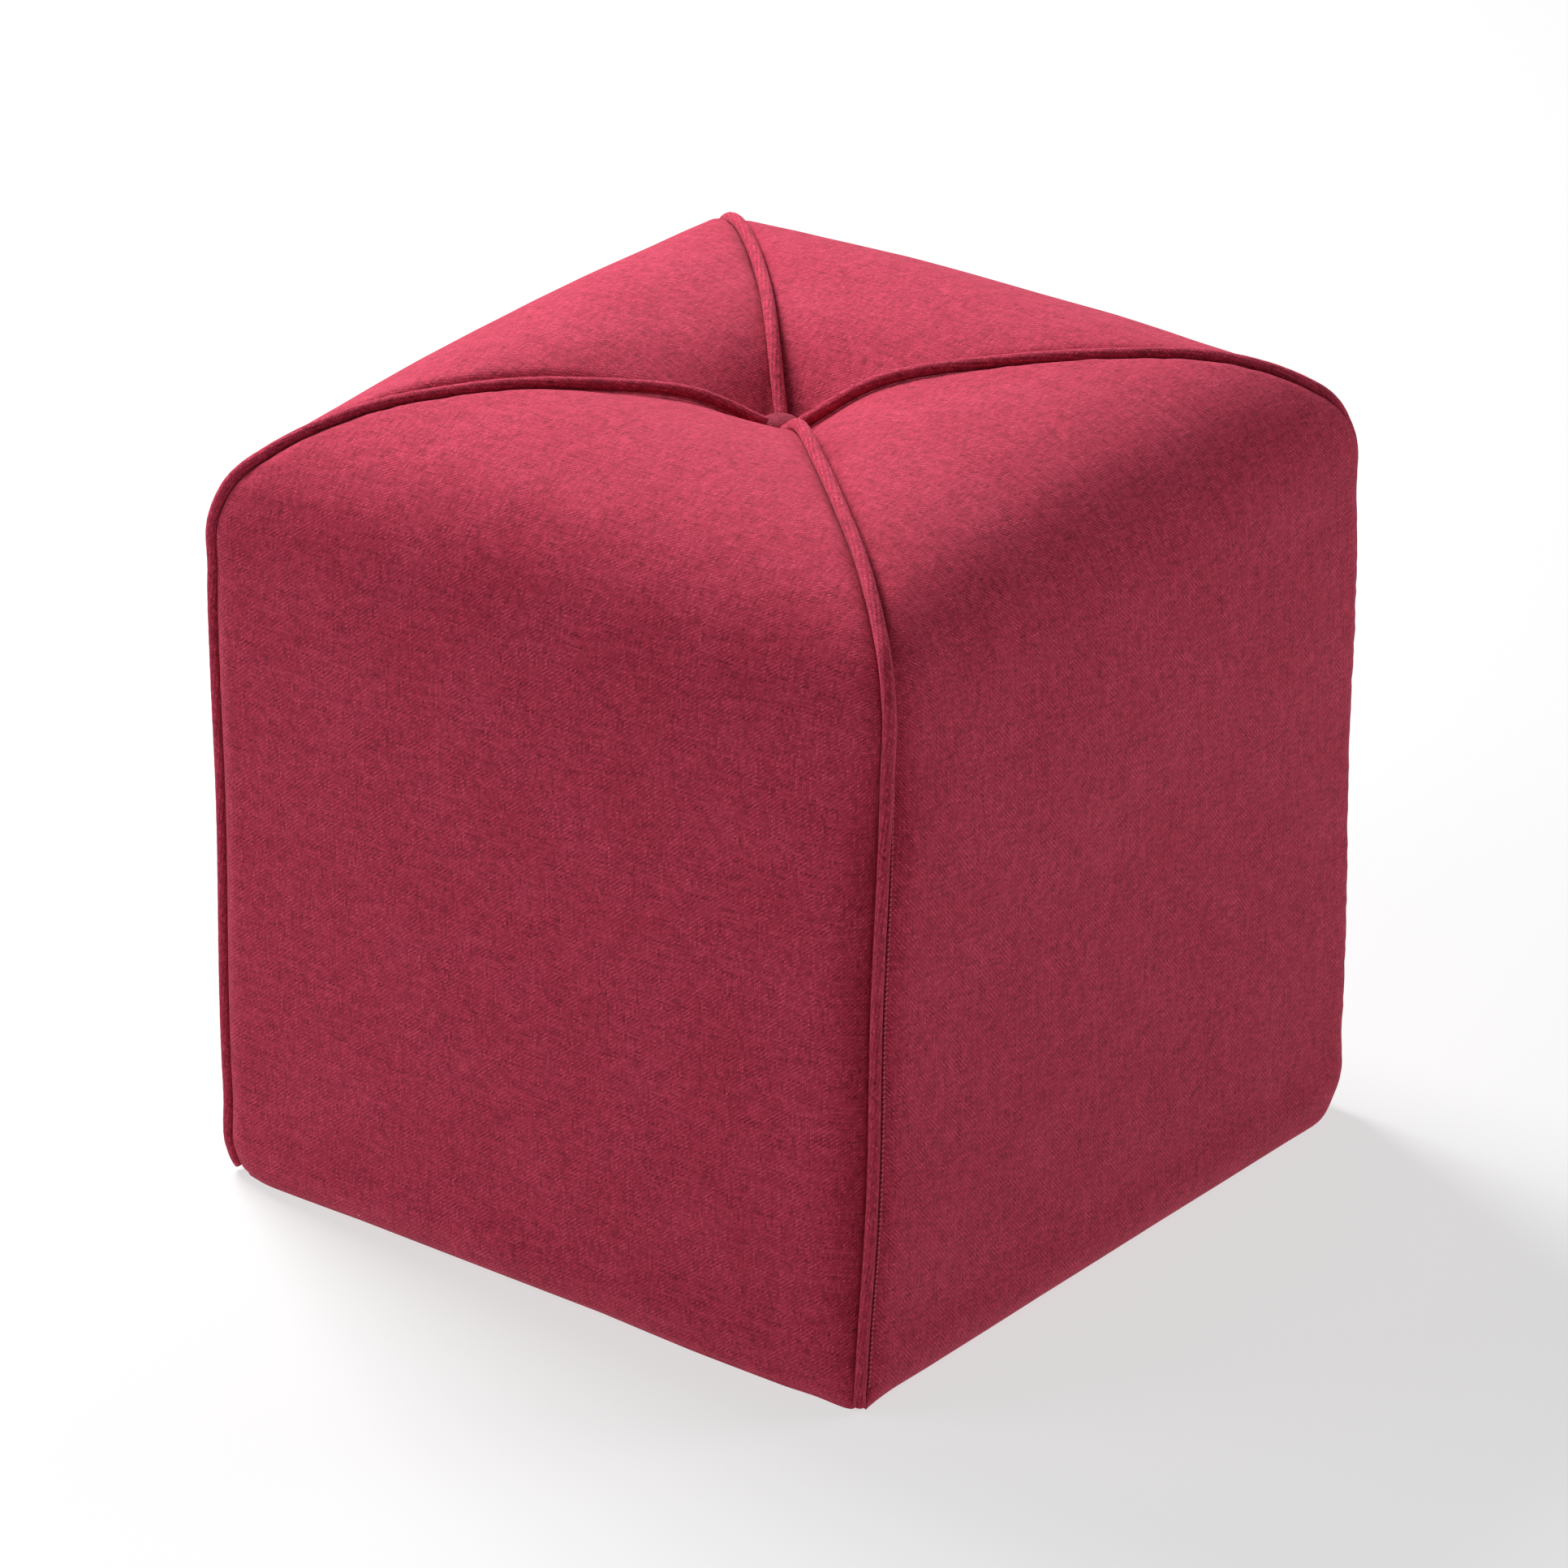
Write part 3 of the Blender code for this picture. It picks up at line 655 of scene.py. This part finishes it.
def build_stitches(panel, grid, normals, material, seed):
    """The stitches that hold the seam's turnings down, beside the piping at a panel's start."""
    rng = np.random.default_rng(seed)
    points = []
    places = []
    faces = []
    line = grid[:, STITCH_COLUMN]
    shown = (line[:, 2] > STITCH_FROM_Z) & (line[:, 2] < STITCH_TO_Z)
    line = line[shown]
    normal = normals[:, STITCH_COLUMN][shown]
    tangent = unit(np.gradient(line, axis=0))
    length = along_line(line)
    for distance in np.arange(STITCH_PITCH, length[-1], STITCH_PITCH):
        at = between(distance, length, line)
        ahead = unit(between(distance, length, tangent))
        out = unit(between(distance, length, normal))
        slant = STITCH_SLANT + rng.normal(0.0, 0.05)
        ahead = cos(slant) * ahead + sin(slant) * np.cross(ahead, out)
        aside = np.cross(ahead, out)
        half = STITCH_HALF * rng.uniform(0.92, 1.05)
        first = len(points)
        for ring in range(STITCH_RINGS):
            share = -1.0 + 2.0 * ring / (STITCH_RINGS - 1)
            middle = at + ahead * half * share
            middle = middle + out * STITCH_RISE * (STITCH_TOP - share**2)
            radius = STITCH_RADIUS * sqrt(STITCH_ENDS - share**2)
            for j in range(STITCH_SIDES):
                turn = 2 * pi * j / STITCH_SIDES
                points.append(middle + radius * (cos(turn) * out + sin(turn) * aside))
                places.append((half * share, radius * turn))
        faces += tube_faces(STITCH_RINGS, STITCH_SIDES, first)
        last = len(points) - STITCH_SIDES
        faces.append(tuple(first + j for j in reversed(range(STITCH_SIDES))))
        faces.append(tuple(last + j for j in range(STITCH_SIDES)))
    return add_object("seam_stitches_" + panel.name, points, faces, places, material)


WELT_SIDES = 28
WELT_STEP = 1.6 * MM
WELT_WALL_RADIUS = 2.9 * MM
# On the top the piping is fuller than on the walls and stands out a little, in millimetres. Inner
# is how much more it stands out near the button. On the walls aside is how far along x and y it
# leans to one side of its seam.
Lean = namedtuple("Lean", "fuller out inner aside")
LEANS = {
    "front_right": Lean(0.45, 0.7, 0.0, (0.0, 0.0)),
    "back_right": Lean(0.30, 0.5, 0.2, (-1.2, 0.9)),
    "back_left": Lean(0.40, 0.5, 0.0, (0.0, 0.0)),
    "front_left": Lean(0.15, 0.3, 1.4, (-1.0, 1.4)),
}
INNER_REACH = 165.0 * MM      # the piping stands out further than this much nearer the button
WELT_WEAVE = 0.85             # the strip is stretched round its cord, so its weave is opened up
WELT_REACH = 5.5 * MM         # how far its end goes in under the button
WELT_DIP = 4.5 * MM
WELT_DIP_POWER = 1.5
WELT_REACH_STOPS = (1.0, 0.8, 0.6, 0.4, 0.2)
WELT_UNEVEN = 0.10 * MM
WELT_WAVES = (0.021, 0.0083)  # lengths of the two waves that its unevenness is made of


def welt_path(seam):
    """The line of a piping before it leans: points, proud and side directions, lengths so far."""
    axis = seam.welt_axis
    keep = int(np.sum(axis[:, 2] > WELT_FOOT_Z))
    share = (axis[keep - 1, 2] - WELT_FOOT_Z) / (axis[keep - 1, 2] - axis[keep, 2])
    foot = axis[keep - 1] + (axis[keep] - axis[keep - 1]) * share
    middle = np.array((*BUTTON_OFF, 0.0))
    inward = unit((middle - axis[0]) * (1.0, 1.0, 0.0))
    reach = [
        axis[0] + inward * stop * WELT_REACH - (0.0, 0.0, WELT_DIP * stop**WELT_DIP_POWER)
        for stop in WELT_REACH_STOPS
    ]
    path = np.concatenate([reach, axis[:keep], foot[None]])
    length = along_line(path)
    stations = np.append(np.arange(0.0, length[-1], WELT_STEP), length[-1])
    proud = between(stations, length[len(reach):len(reach) + keep], seam.proud[:keep])
    path = between(stations, length, path)
    along = unit(np.gradient(path, axis=0))
    proud = unit(proud - along * np.sum(proud * along, axis=1)[:, None])
    return path, proud, np.cross(along, proud), stations


def build_welt(corner, seam, material, phase):
    """The piping of one seam, a bias strip over a cord, from beside the button down to the hem."""
    path, proud, side, stations = welt_path(seam)
    roll = ROLLS[corner.name]
    high = ease((path[:, 2] / MM - roll.to_up) / (roll.from_up - roll.to_up))
    lean = LEANS[corner.name]
    radii = WELT_WALL_RADIUS + lean.fuller * MM * high
    inner = ease((INNER_REACH - np.hypot(path[:, 0], path[:, 1])) / INNER_REACH * 2.0)
    path = path + proud * ((lean.out + lean.inner * inner) * MM * high)[:, None]
    path = path + np.outer(1.0 - high, (lean.aside[0] * MM, lean.aside[1] * MM, 0.0))
    turns = np.linspace(0.0, 2 * pi, WELT_SIDES, endpoint=False)
    long_wave, short_wave = WELT_WAVES
    points = []
    for i, place in enumerate(path):
        swell = 1.0 - WELT_UNEVEN / WELT_RADIUS * (
            0.5 + 0.5 * sin(2 * pi * stations[i] / long_wave + phase)
            * sin(2 * pi * stations[i] / short_wave + 2 * phase)
        )
        ring = np.cos(turns)[:, None] * proud[i] + np.sin(turns)[:, None] * side[i]
        points += list(place + radii[i] * swell * ring)
    points += [path[0], path[-1]]
    half = sqrt(0.5) * WELT_WEAVE
    places = []
    for distance in stations:
        for turn in turns:
            wrap = WELT_RADIUS * (turn if turn <= pi else turn - 2 * pi)
            places.append(((wrap + distance) * half, (distance - wrap) * half))
    places += [(0.0, 0.0), (0.0, 0.0)]
    faces = tube_faces(len(path), WELT_SIDES) + end_faces(len(path), WELT_SIDES)
    return add_object("piping_" + corner.name, points, faces, places, material)


BUTTON_SIDES = 72
BUTTON_DOME_RINGS = 14
BUTTON_WEAVE_TURN = (0.8, 0.6)            # cosine and sine of how far its weave is turned


def build_button(material):
    """The covered button: a low dome with a rounded rim, and the shank under it."""
    dome = BUTTON_TOP_Z - BUTTON_RIM_Z
    under = BUTTON_RIM_Z - BUTTON_UNDER_Z
    profile = []
    for step in range(1, BUTTON_DOME_RINGS + 1):
        turn = pi / 2 * step / BUTTON_DOME_RINGS
        profile.append((BUTTON_RADIUS * sin(turn), BUTTON_RIM_Z + dome * cos(turn)))
    profile.append((BUTTON_RADIUS - under / 4, BUTTON_UNDER_Z + under / 2))
    profile.append((BUTTON_RADIUS - under / 2, BUTTON_UNDER_Z + under / 4))
    profile.append((BUTTON_RADIUS - under, BUTTON_UNDER_Z))
    profile.append((SHANK_RADIUS, BUTTON_UNDER_Z))
    profile.append((SHANK_RADIUS, SHANK_FOOT_Z))
    turns = np.linspace(0.0, 2 * pi, BUTTON_SIDES, endpoint=False)
    centre = np.array((*BUTTON_OFF, 0.0))
    points = [centre + (0.0, 0.0, BUTTON_TOP_Z)]
    places = [(0.0, 0.0)]
    along, over = BUTTON_WEAVE_TURN
    for radius, height in profile:
        for turn in turns:
            x = radius * cos(turn)
            y = radius * sin(turn)
            points.append(centre + (x, y, height))
            places.append((x * along - y * over, x * over + y * along))
    points.append(centre + (0.0, 0.0, SHANK_FOOT_Z))
    places.append((0.0, 0.0))
    faces = []
    for j in range(BUTTON_SIDES):
        k = (j + 1) % BUTTON_SIDES
        faces.append((0, 1 + j, 1 + k))
        for ring in range(len(profile) - 1):
            a = 1 + ring * BUTTON_SIDES
            b = a + BUTTON_SIDES
            faces.append((a + j, b + j, b + k, a + k))
        last = 1 + (len(profile) - 1) * BUTTON_SIDES
        faces.append((len(points) - 1, last + k, last + j))
    return add_object("covered_button", points, faces, places, material)


BASE_CORNER_STEPS = 8
# Up the edge of the base cloth: a share of its size, less an inset, and a height in millimetres.
Level = namedtuple("Level", "share inset height")
BASE_LEVELS = (
    Level(0.9, 0.0, 0.0), Level(1.0, 0.3, 0.25), Level(1.0, 0.0, 0.7),
    Level(1.0, 0.0, 1.3), Level(1.0, 0.3, 1.75), Level(0.9, 0.0, 2.0),
)


def build_base(material):
    """The flat cloth that closes the bottom, with round corners and a rounded edge."""
    ring = []
    centre = (BASE_HALF - BASE_CORNER) * sqrt(2.0)
    for corner in range(4):
        heading = pi / 4 + pi / 2 * corner
        for step in range(BASE_CORNER_STEPS + 1):
            turn = pi / 2 * (corner + step / BASE_CORNER_STEPS)
            ring.append((centre * cos(heading) + BASE_CORNER * cos(turn),
                         centre * sin(heading) + BASE_CORNER * sin(turn)))
    points = []
    for level in BASE_LEVELS:
        scale = level.share - level.inset * MM / BASE_HALF
        points += [(x * scale, y * scale, level.height * MM) for x, y in ring]
    points += [(0.0, 0.0, 0.0), (0.0, 0.0, BASE_THICKNESS)]
    levels = len(BASE_LEVELS)
    faces = tube_faces(levels, len(ring)) + end_faces(levels, len(ring))
    places = [(x, y) for x, y, _ in points]
    return add_object("base_cloth_sheet", points, faces, places, material)


# ---------------- materials
class Shader:
    """Builds one material's nodes. A value is a number, a colour or another node's output."""

    def __init__(self, name):
        self.material = bpy.data.materials.new(name)
        self.material.use_nodes = True
        self.tree = self.material.node_tree
        self.principled = self.tree.nodes["Principled BSDF"]

    def put(self, socket, value):
        """Links a node's output to a socket, or sets the socket."""
        if isinstance(value, bpy.types.NodeSocket):
            self.tree.links.new(value, socket)
        else:
            socket.default_value = value

    def node(self, kind, inputs, **settings):
        """Adds a node with these inputs and settings, and gives its first output."""
        node = self.tree.nodes.new(kind)
        for key, value in settings.items():
            setattr(node, key, value)
        for key, value in inputs.items():
            self.put(node.inputs[key], value)
        return node.outputs[0]

    def math(self, operation, a, b=0.0, c=0.0):
        return self.node("ShaderNodeMath", {0: a, 1: b, 2: c}, operation=operation)

    def point(self, x, y):
        return self.node("ShaderNodeCombineXYZ", {0: x, 1: y, 2: 0.0})

    def noise(self, place, noise):
        return self.node("ShaderNodeTexNoise", {
            "Vector": place, "Scale": noise.scale, "Detail": noise.detail,
            "Roughness": noise.roughness,
        })

    def waver(self, place, noise, reach):
        """Noise round 0, with a width of reach."""
        return self.math("MULTIPLY", self.math("SUBTRACT", self.noise(place, noise), 0.5), reach)

    def spread(self, value, low, high, to_low=0.0, to_high=1.0):
        """Takes low to to_low and high to to_high, and goes no further."""
        return self.node("ShaderNodeMapRange", {
            "Value": value, "From Min": low, "From Max": high, "To Min": to_low, "To Max": to_high,
        }, clamp=True)

    def mix(self, share, a, b, blend="MIX"):
        """A mix of two colours."""
        node = self.tree.nodes.new("ShaderNodeMix")
        node.data_type = "RGBA"
        node.blend_type = blend
        self.put(node.inputs[0], share)
        self.put(node.inputs[6], a)
        self.put(node.inputs[7], b)
        return node.outputs[2]


# A yarn's colours, and how light the yarns across and along the flecks are.
Yarn = namedtuple("Yarn", "dark middle light across along")
CLOTH_YARN = Yarn(
    dark=(0.190, 0.0090, 0.0250), middle=(0.425, 0.0303, 0.0695), light=(0.640, 0.0730, 0.1290),
    across=1.18, along=0.84,
)
WELT_YARN = Yarn(
    dark=(0.200, 0.0105, 0.0285), middle=(0.420, 0.0295, 0.0680), light=(0.630, 0.0670, 0.1230),
    across=1.16, along=0.85,
)
# Same cloth as the panels, painted darker: painted shade for the button lying low in the shade of
# the seat.
BUTTON_SHADED_YARN = Yarn(
    dark=(0.105, 0.0055, 0.0150), middle=(0.225, 0.0140, 0.0340), light=(0.360, 0.0340, 0.0660),
    across=1.18, along=0.84,
)
BASE_YARN = Yarn(
    dark=(0.060, 0.0060, 0.0120), middle=(0.130, 0.0120, 0.0240), light=(0.200, 0.0300, 0.0450),
    across=1.10, along=0.90,
)
DARK_YARN = (0.30, 0.52)      # values between which a yarn goes from dark to its middle shade
PALE_YARN = (0.52, 0.80)      # and from there to light

# Cells of a noise to a metre of cloth, its octaves, and how strong the finer ones are.
Noise = namedtuple("Noise", "scale detail roughness")
DRIFT_NOISE = Noise(45.0, 1.0, 0.5)
WAVER_NOISE = Noise(520.0, 2.0, 0.5)
STREAK_NOISE = Noise(1.0, 3.0, 0.6)       # its places are scaled before
FUZZ_NOISE = Noise(1900.0, 3.0, 0.65)
CLOUD_NOISE = Noise(22.0, 3.0, 0.5)
FIBRE_NOISE = Noise(3500.0, 2.0, 0.5)

THREAD_ALONG = 1.27 * MM      # from one cross thread to the next, along the flecks
THREAD_OVER = 1.07 * MM       # from one long thread to the next
THREAD_DRIFT = 1.4 * MM       # how far the threads drift aside over some centimetres,
THREAD_WAVER = 0.60 * MM      # and over a thread or two
THREAD_ROUND = 0.6            # power of a thread's rounded section
THREAD_DIVE = 0.38            # how much lower a thread lies where it goes under another
RIB_SHARE = 0.75              # how much the floats join into slanting ribs
FLOAT_EDGE = 0.50             # half the width of the change from long thread to cross thread
LONG_STREAKS = 72.0           # shades to a metre of a long thread
CROSS_STREAKS = 170.0         # shades to a metre of a cross thread
LONG_APART = 7.31             # how far apart neighbours take their shades from the noise
CROSS_APART = 5.17
CROSS_START = 31.7
GRAIN = 0.10
FUZZ_RELIEF = 0.5
WEAVE_DEPTH = 0.20 * MM
WELT_WEAVE_DEPTH = 0.26 * MM
WEAVE_BUMP = 0.55
# Low and high values of the weave's height, of soft clouds and of fuzz, and the shades there:
# painted shade in the weave's low gaps, random tone in the clouds and the fuzz.
HEIGHT_SHADE = (0.0, 0.9, 0.79, 1.01)
CLOUD_SHADE = (0.3, 0.7, 0.96, 1.04)
FUZZ_SHADE = (0.2, 0.8, 0.78, 1.22)
HEIGHT_ROUGHNESS = (0.0, 1.0, 0.97, 0.86)
GREEN_POWER = 3.2             # shaded cloth is redder: green and blue fall faster
BLUE_POWER = 2.6
LINT_ALONG = 55.0             # cells of lint to a metre along and across the long threads
LINT_OVER = 28.0
LINT_SIZE = 0.022
LINT_CHANCE = 0.05
LINT_SHARE = 0.7
LINT_COLOUR = (0.75, 0.42, 0.46, 1.0)
SPECULAR = 0.12
SHEEN = 0.20
BASE_SHEEN = 0.1
SHEEN_ROUGHNESS = 0.65
SHEEN_TINT = (1.0, 0.29, 0.39, 1.0)


def yarn_colour(s, yarn, value, light):
    """Colour of a yarn from a value of 0 to 1: dark stretches, the middle shade, pale fibres."""
    dark, middle, pale = [(*[c * light for c in shade], 1.0) for shade in yarn[:3]]
    low = s.mix(s.spread(value, *DARK_YARN), dark, middle)
    return s.mix(s.spread(value, *PALE_YARN), low, pale)


def weave_height(s, along, over):
    """Height of the weave, 0 to 1, and where a cross thread is on top. Places are in threads."""
    wave_along = s.math("SINE", s.math("MULTIPLY", along, pi))
    wave_over = s.math("SINE", s.math("MULTIPLY", over, pi))
    ribs = s.math("MULTIPLY", s.math("COSINE", s.math("MULTIPLY", along, pi)),
                  s.math("COSINE", s.math("MULTIPLY", over, pi)))
    lifted = s.math("MULTIPLY_ADD", ribs, RIB_SHARE, s.math("MULTIPLY", wave_along, wave_over))
    cross_on_top = s.spread(lifted, -FLOAT_EDGE, FLOAT_EDGE)
    round_along = s.math("POWER", s.math("ABSOLUTE", wave_along), THREAD_ROUND)
    round_over = s.math("POWER", s.math("ABSOLUTE", wave_over), THREAD_ROUND)
    cross_top = s.math("MULTIPLY_ADD", round_over, THREAD_DIVE, 1.0 - THREAD_DIVE)
    cross = s.math("MULTIPLY", round_along, cross_top)
    long_top = s.math("MULTIPLY_ADD", round_along, THREAD_DIVE, 1.0 - THREAD_DIVE)
    long = s.math("MULTIPLY", round_over, long_top)
    height = s.math("MULTIPLY_ADD", cross_on_top, s.math("SUBTRACT", cross, long), long)
    return height, cross_on_top


def melange(s, yarn, x, y, along, over, cross_on_top):
    """Colour of the threads, each with its own dark and pale stretches."""
    cell_x = s.math("FLOOR", along)
    cell_y = s.math("FLOOR", over)
    grain = s.node("ShaderNodeTexWhiteNoise", {"Vector": s.point(cell_x, cell_y)})
    grain = s.math("MULTIPLY", s.math("SUBTRACT", grain, 0.5), GRAIN)
    long_at = s.point(s.math("MULTIPLY", x, LONG_STREAKS), s.math("MULTIPLY", cell_y, LONG_APART))
    long_shade = s.noise(long_at, STREAK_NOISE)
    cross_at = s.point(s.math("MULTIPLY", y, CROSS_STREAKS),
                       s.math("MULTIPLY_ADD", cell_x, CROSS_APART, CROSS_START))
    cross_shade = s.noise(cross_at, STREAK_NOISE)
    long_colour = yarn_colour(s, yarn, s.math("ADD", long_shade, grain), yarn.along)
    cross_colour = yarn_colour(s, yarn, s.math("ADD", cross_shade, grain), yarn.across)
    return s.mix(cross_on_top, long_colour, cross_colour)


def add_lint(s, colour, x, y):
    """A few specks of pale lint on a colour."""
    place = s.point(s.math("MULTIPLY", x, LINT_ALONG), s.math("MULTIPLY", y, LINT_OVER))
    distance = s.node("ShaderNodeTexVoronoi", {"Vector": place, "Scale": 1.0})
    chance = s.node("ShaderNodeSeparateColor", {0: distance.node.outputs["Color"]})
    lint = s.math("MULTIPLY", s.math("LESS_THAN", distance, LINT_SIZE),
                  s.math("GREATER_THAN", chance, 1.0 - LINT_CHANCE))
    return s.mix(s.math("MULTIPLY", lint, LINT_SHARE), colour, LINT_COLOUR)


def weave_material(name, yarn, depth=WEAVE_DEPTH, sheen=SHEEN):
    """A plain weave of melange yarn, from the places of the cloth in the UV map called weave."""
    s = Shader(name)
    uv = s.node("ShaderNodeUVMap", {}, uv_map="weave")
    x = s.node("ShaderNodeSeparateXYZ", {0: uv})
    y = x.node.outputs[1]
    drift = s.math("ADD", s.waver(uv, DRIFT_NOISE, THREAD_DRIFT),
                   s.waver(uv, WAVER_NOISE, THREAD_WAVER))
    along = s.math("DIVIDE", s.math("ADD", x, drift), THREAD_ALONG)
    over = s.math("DIVIDE", s.math("SUBTRACT", y, drift), THREAD_OVER)
    height, cross_on_top = weave_height(s, along, over)
    colour = melange(s, yarn, x, y, along, over, cross_on_top)
    fuzz = s.noise(uv, FUZZ_NOISE)
    cloud = s.noise(uv, CLOUD_NOISE)
    # Painted shade: the weave is darker where its threads dive low between others; the clouds and
    # the fuzz add random tone.
    shade = s.math("MULTIPLY", s.spread(height, *HEIGHT_SHADE), s.spread(cloud, *CLOUD_SHADE))
    shade = s.math("MULTIPLY", shade, s.spread(fuzz, *FUZZ_SHADE))
    gap_shade_and_tone = s.node("ShaderNodeCombineColor", {
        0: shade,
        1: s.math("POWER", shade, GREEN_POWER),
        2: s.math("POWER", shade, BLUE_POWER),
    })
    colour = add_lint(s, s.mix(1.0, colour, gap_shade_and_tone, "MULTIPLY"), x, y)
    relief = s.math("MULTIPLY_ADD", s.math("SUBTRACT", fuzz, 0.5), FUZZ_RELIEF, height)
    bump = s.node("ShaderNodeBump", {"Strength": WEAVE_BUMP, "Distance": depth, "Height": relief})
    p = s.principled.inputs
    s.put(p["Base Color"], colour)
    s.put(p["Roughness"], s.spread(height, *HEIGHT_ROUGHNESS))
    s.put(p["Normal"], bump)
    s.put(p["Specular IOR Level"], SPECULAR)
    s.put(p["Sheen Weight"], sheen)
    s.put(p["Sheen Roughness"], SHEEN_ROUGHNESS)
    s.put(p["Sheen Tint"], SHEEN_TINT)
    return s.material


THREAD_DARK = (0.400, 0.0330, 0.0730, 1.0)
THREAD_LIGHT = (0.680, 0.0900, 0.1600, 1.0)
THREAD_TWIST = 0.45 * MM
THREAD_STRANDS = 0.25         # how much the two strands show beside the fibres
THREAD_SHADES = (0.2, 0.8)
THREAD_RELIEF = 0.08 * MM
THREAD_BUMP = 0.5
THREAD_ROUGHNESS = 0.6
THREAD_SHEEN = 0.2
THREAD_TINT = (1.0, 0.4, 0.5, 1.0)


def thread_material(name):
    """Sewing thread of two twisted strands, lighter where it catches the light."""
    s = Shader(name)
    uv = s.node("ShaderNodeUVMap", {}, uv_map="weave")
    x = s.node("ShaderNodeSeparateXYZ", {0: uv})
    turned = s.math("ADD", x, x.node.outputs[1])
    strand = s.math("SINE", s.math("MULTIPLY", turned, 2 * pi / THREAD_TWIST))
    fibre = s.noise(uv, FIBRE_NOISE)
    value = s.math("MULTIPLY_ADD", strand, THREAD_STRANDS, fibre)
    bump = s.node("ShaderNodeBump", {
        "Strength": THREAD_BUMP, "Distance": THREAD_RELIEF, "Height": value,
    })
    p = s.principled.inputs
    s.put(p["Base Color"], s.mix(s.spread(value, *THREAD_SHADES), THREAD_DARK, THREAD_LIGHT))
    s.put(p["Normal"], bump)
    s.put(p["Roughness"], THREAD_ROUGHNESS)
    s.put(p["Sheen Weight"], THREAD_SHEEN)
    s.put(p["Sheen Tint"], THREAD_TINT)
    return s.material


# ---------------- stage and light
WHITE = (1.0, 1.0, 1.0, 1.0)
FLOOR_HALF = 6.0
FLOOR_Z = -0.4 * MM
FLOOR_COLOUR = (0.25, 0.25, 0.25, 1.0)
FLOOR_ROUGHNESS = 0.95
FLOOR_GLOW = 0.62             # it glows, so that it stays pale outside the pool of light
WORLD_STRENGTH = 0.20
WIDE = 180.0
Light = namedtuple("Light", "name place target size power spread")
LIGHTS = (
    Light("overhead", (-2.2, 0.55, 2.4), (0.0, 0.0, 0.3), 1.4, 168.0, WIDE),
    Light("front_fill", (-1.30, -1.25, 1.15), (0.0, 0.0, 0.25), 1.1, 10.6, WIDE),
    Light("side_fill", (1.15, 1.25, 1.45), (0.15, 0.0, 0.60), 1.2, 1.45, 40.0),
)


def build_floor():
    mesh = bpy.data.meshes.new("floor")
    corners = ((-1, -1), (1, -1), (1, 1), (-1, 1))
    points = [(x * FLOOR_HALF, y * FLOOR_HALF, 0.0) for x, y in corners]
    mesh.from_pydata(points, [], [(0, 1, 2, 3)])
    s = Shader("floor")
    p = s.principled.inputs
    s.put(p["Base Color"], FLOOR_COLOUR)
    s.put(p["Roughness"], FLOOR_ROUGHNESS)
    s.put(p["Emission Color"], WHITE)
    s.put(p["Emission Strength"], FLOOR_GLOW)
    mesh.materials.append(s.material)
    floor = bpy.data.objects.new("floor", mesh)
    floor.location = (0.0, 0.0, FLOOR_Z)
    link(floor)


def build_lights():
    world = bpy.data.worlds.new("studio")
    world.use_nodes = True
    background = world.node_tree.nodes["Background"].inputs
    background["Color"].default_value = WHITE
    background["Strength"].default_value = WORLD_STRENGTH
    bpy.context.scene.world = world
    for light in LIGHTS:
        data = bpy.data.lights.new(light.name, "AREA")
        data.energy = light.power
        data.size = light.size
        data.spread = radians(light.spread)
        lamp = bpy.data.objects.new(light.name, data)
        lamp.location = light.place
        aim = Vector(light.target) - Vector(light.place)
        lamp.rotation_euler = aim.to_track_quat("-Z", "Y").to_euler()
        link(lamp)
    bpy.context.scene.view_settings.view_transform = "Standard"


# ---------------- the pouf
PANEL_SEED = 40
PANEL_SEED_STEP = 10          # a panel draws from a few seeds in a row
STITCH_SEED = 7
WELT_PHASE = 1.3


def main():
    cloth = weave_material("pouf_cloth_woven", CLOTH_YARN)
    welt_cloth = weave_material("welt_cloth_woven", WELT_YARN, depth=WELT_WEAVE_DEPTH)
    # the button's cloth is painted darker, as painted shade
    button_shaded_cloth = weave_material("button_cloth_shaded_woven", BUTTON_SHADED_YARN)
    base_cloth = weave_material("base_cloth_woven", BASE_YARN, sheen=BASE_SHEEN)
    thread = thread_material("stitch_thread")
    seams = {corner.name: Seam(corner) for corner in CORNERS}
    upright_seams = {corner.name: Seam(corner, tucked=False) for corner in CORNERS}
    for i, panel in enumerate(PANELS):
        seed = PANEL_SEED + PANEL_SEED_STEP * i
        piece, grid, normals = build_panel(panel, seams, upright_seams, cloth, seed)
        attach(piece, "root")
        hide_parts("panel_" + panel.name)
        if panel.name in STITCHED:
            stitches = build_stitches(panel, grid, normals, thread, STITCH_SEED + i)
            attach(stitches, "root")
    for i, corner in enumerate(CORNERS):
        piece = build_welt(corner, seams[corner.name], welt_cloth, WELT_PHASE * i)
        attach(piece, "root")
        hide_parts("welt_" + corner.name)
    button = build_button(button_shaded_cloth)
    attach(button, "root")
    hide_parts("button")
    base = build_base(base_cloth)
    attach(base, "root")
    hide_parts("base")
    build_floor()
    build_lights()


main()
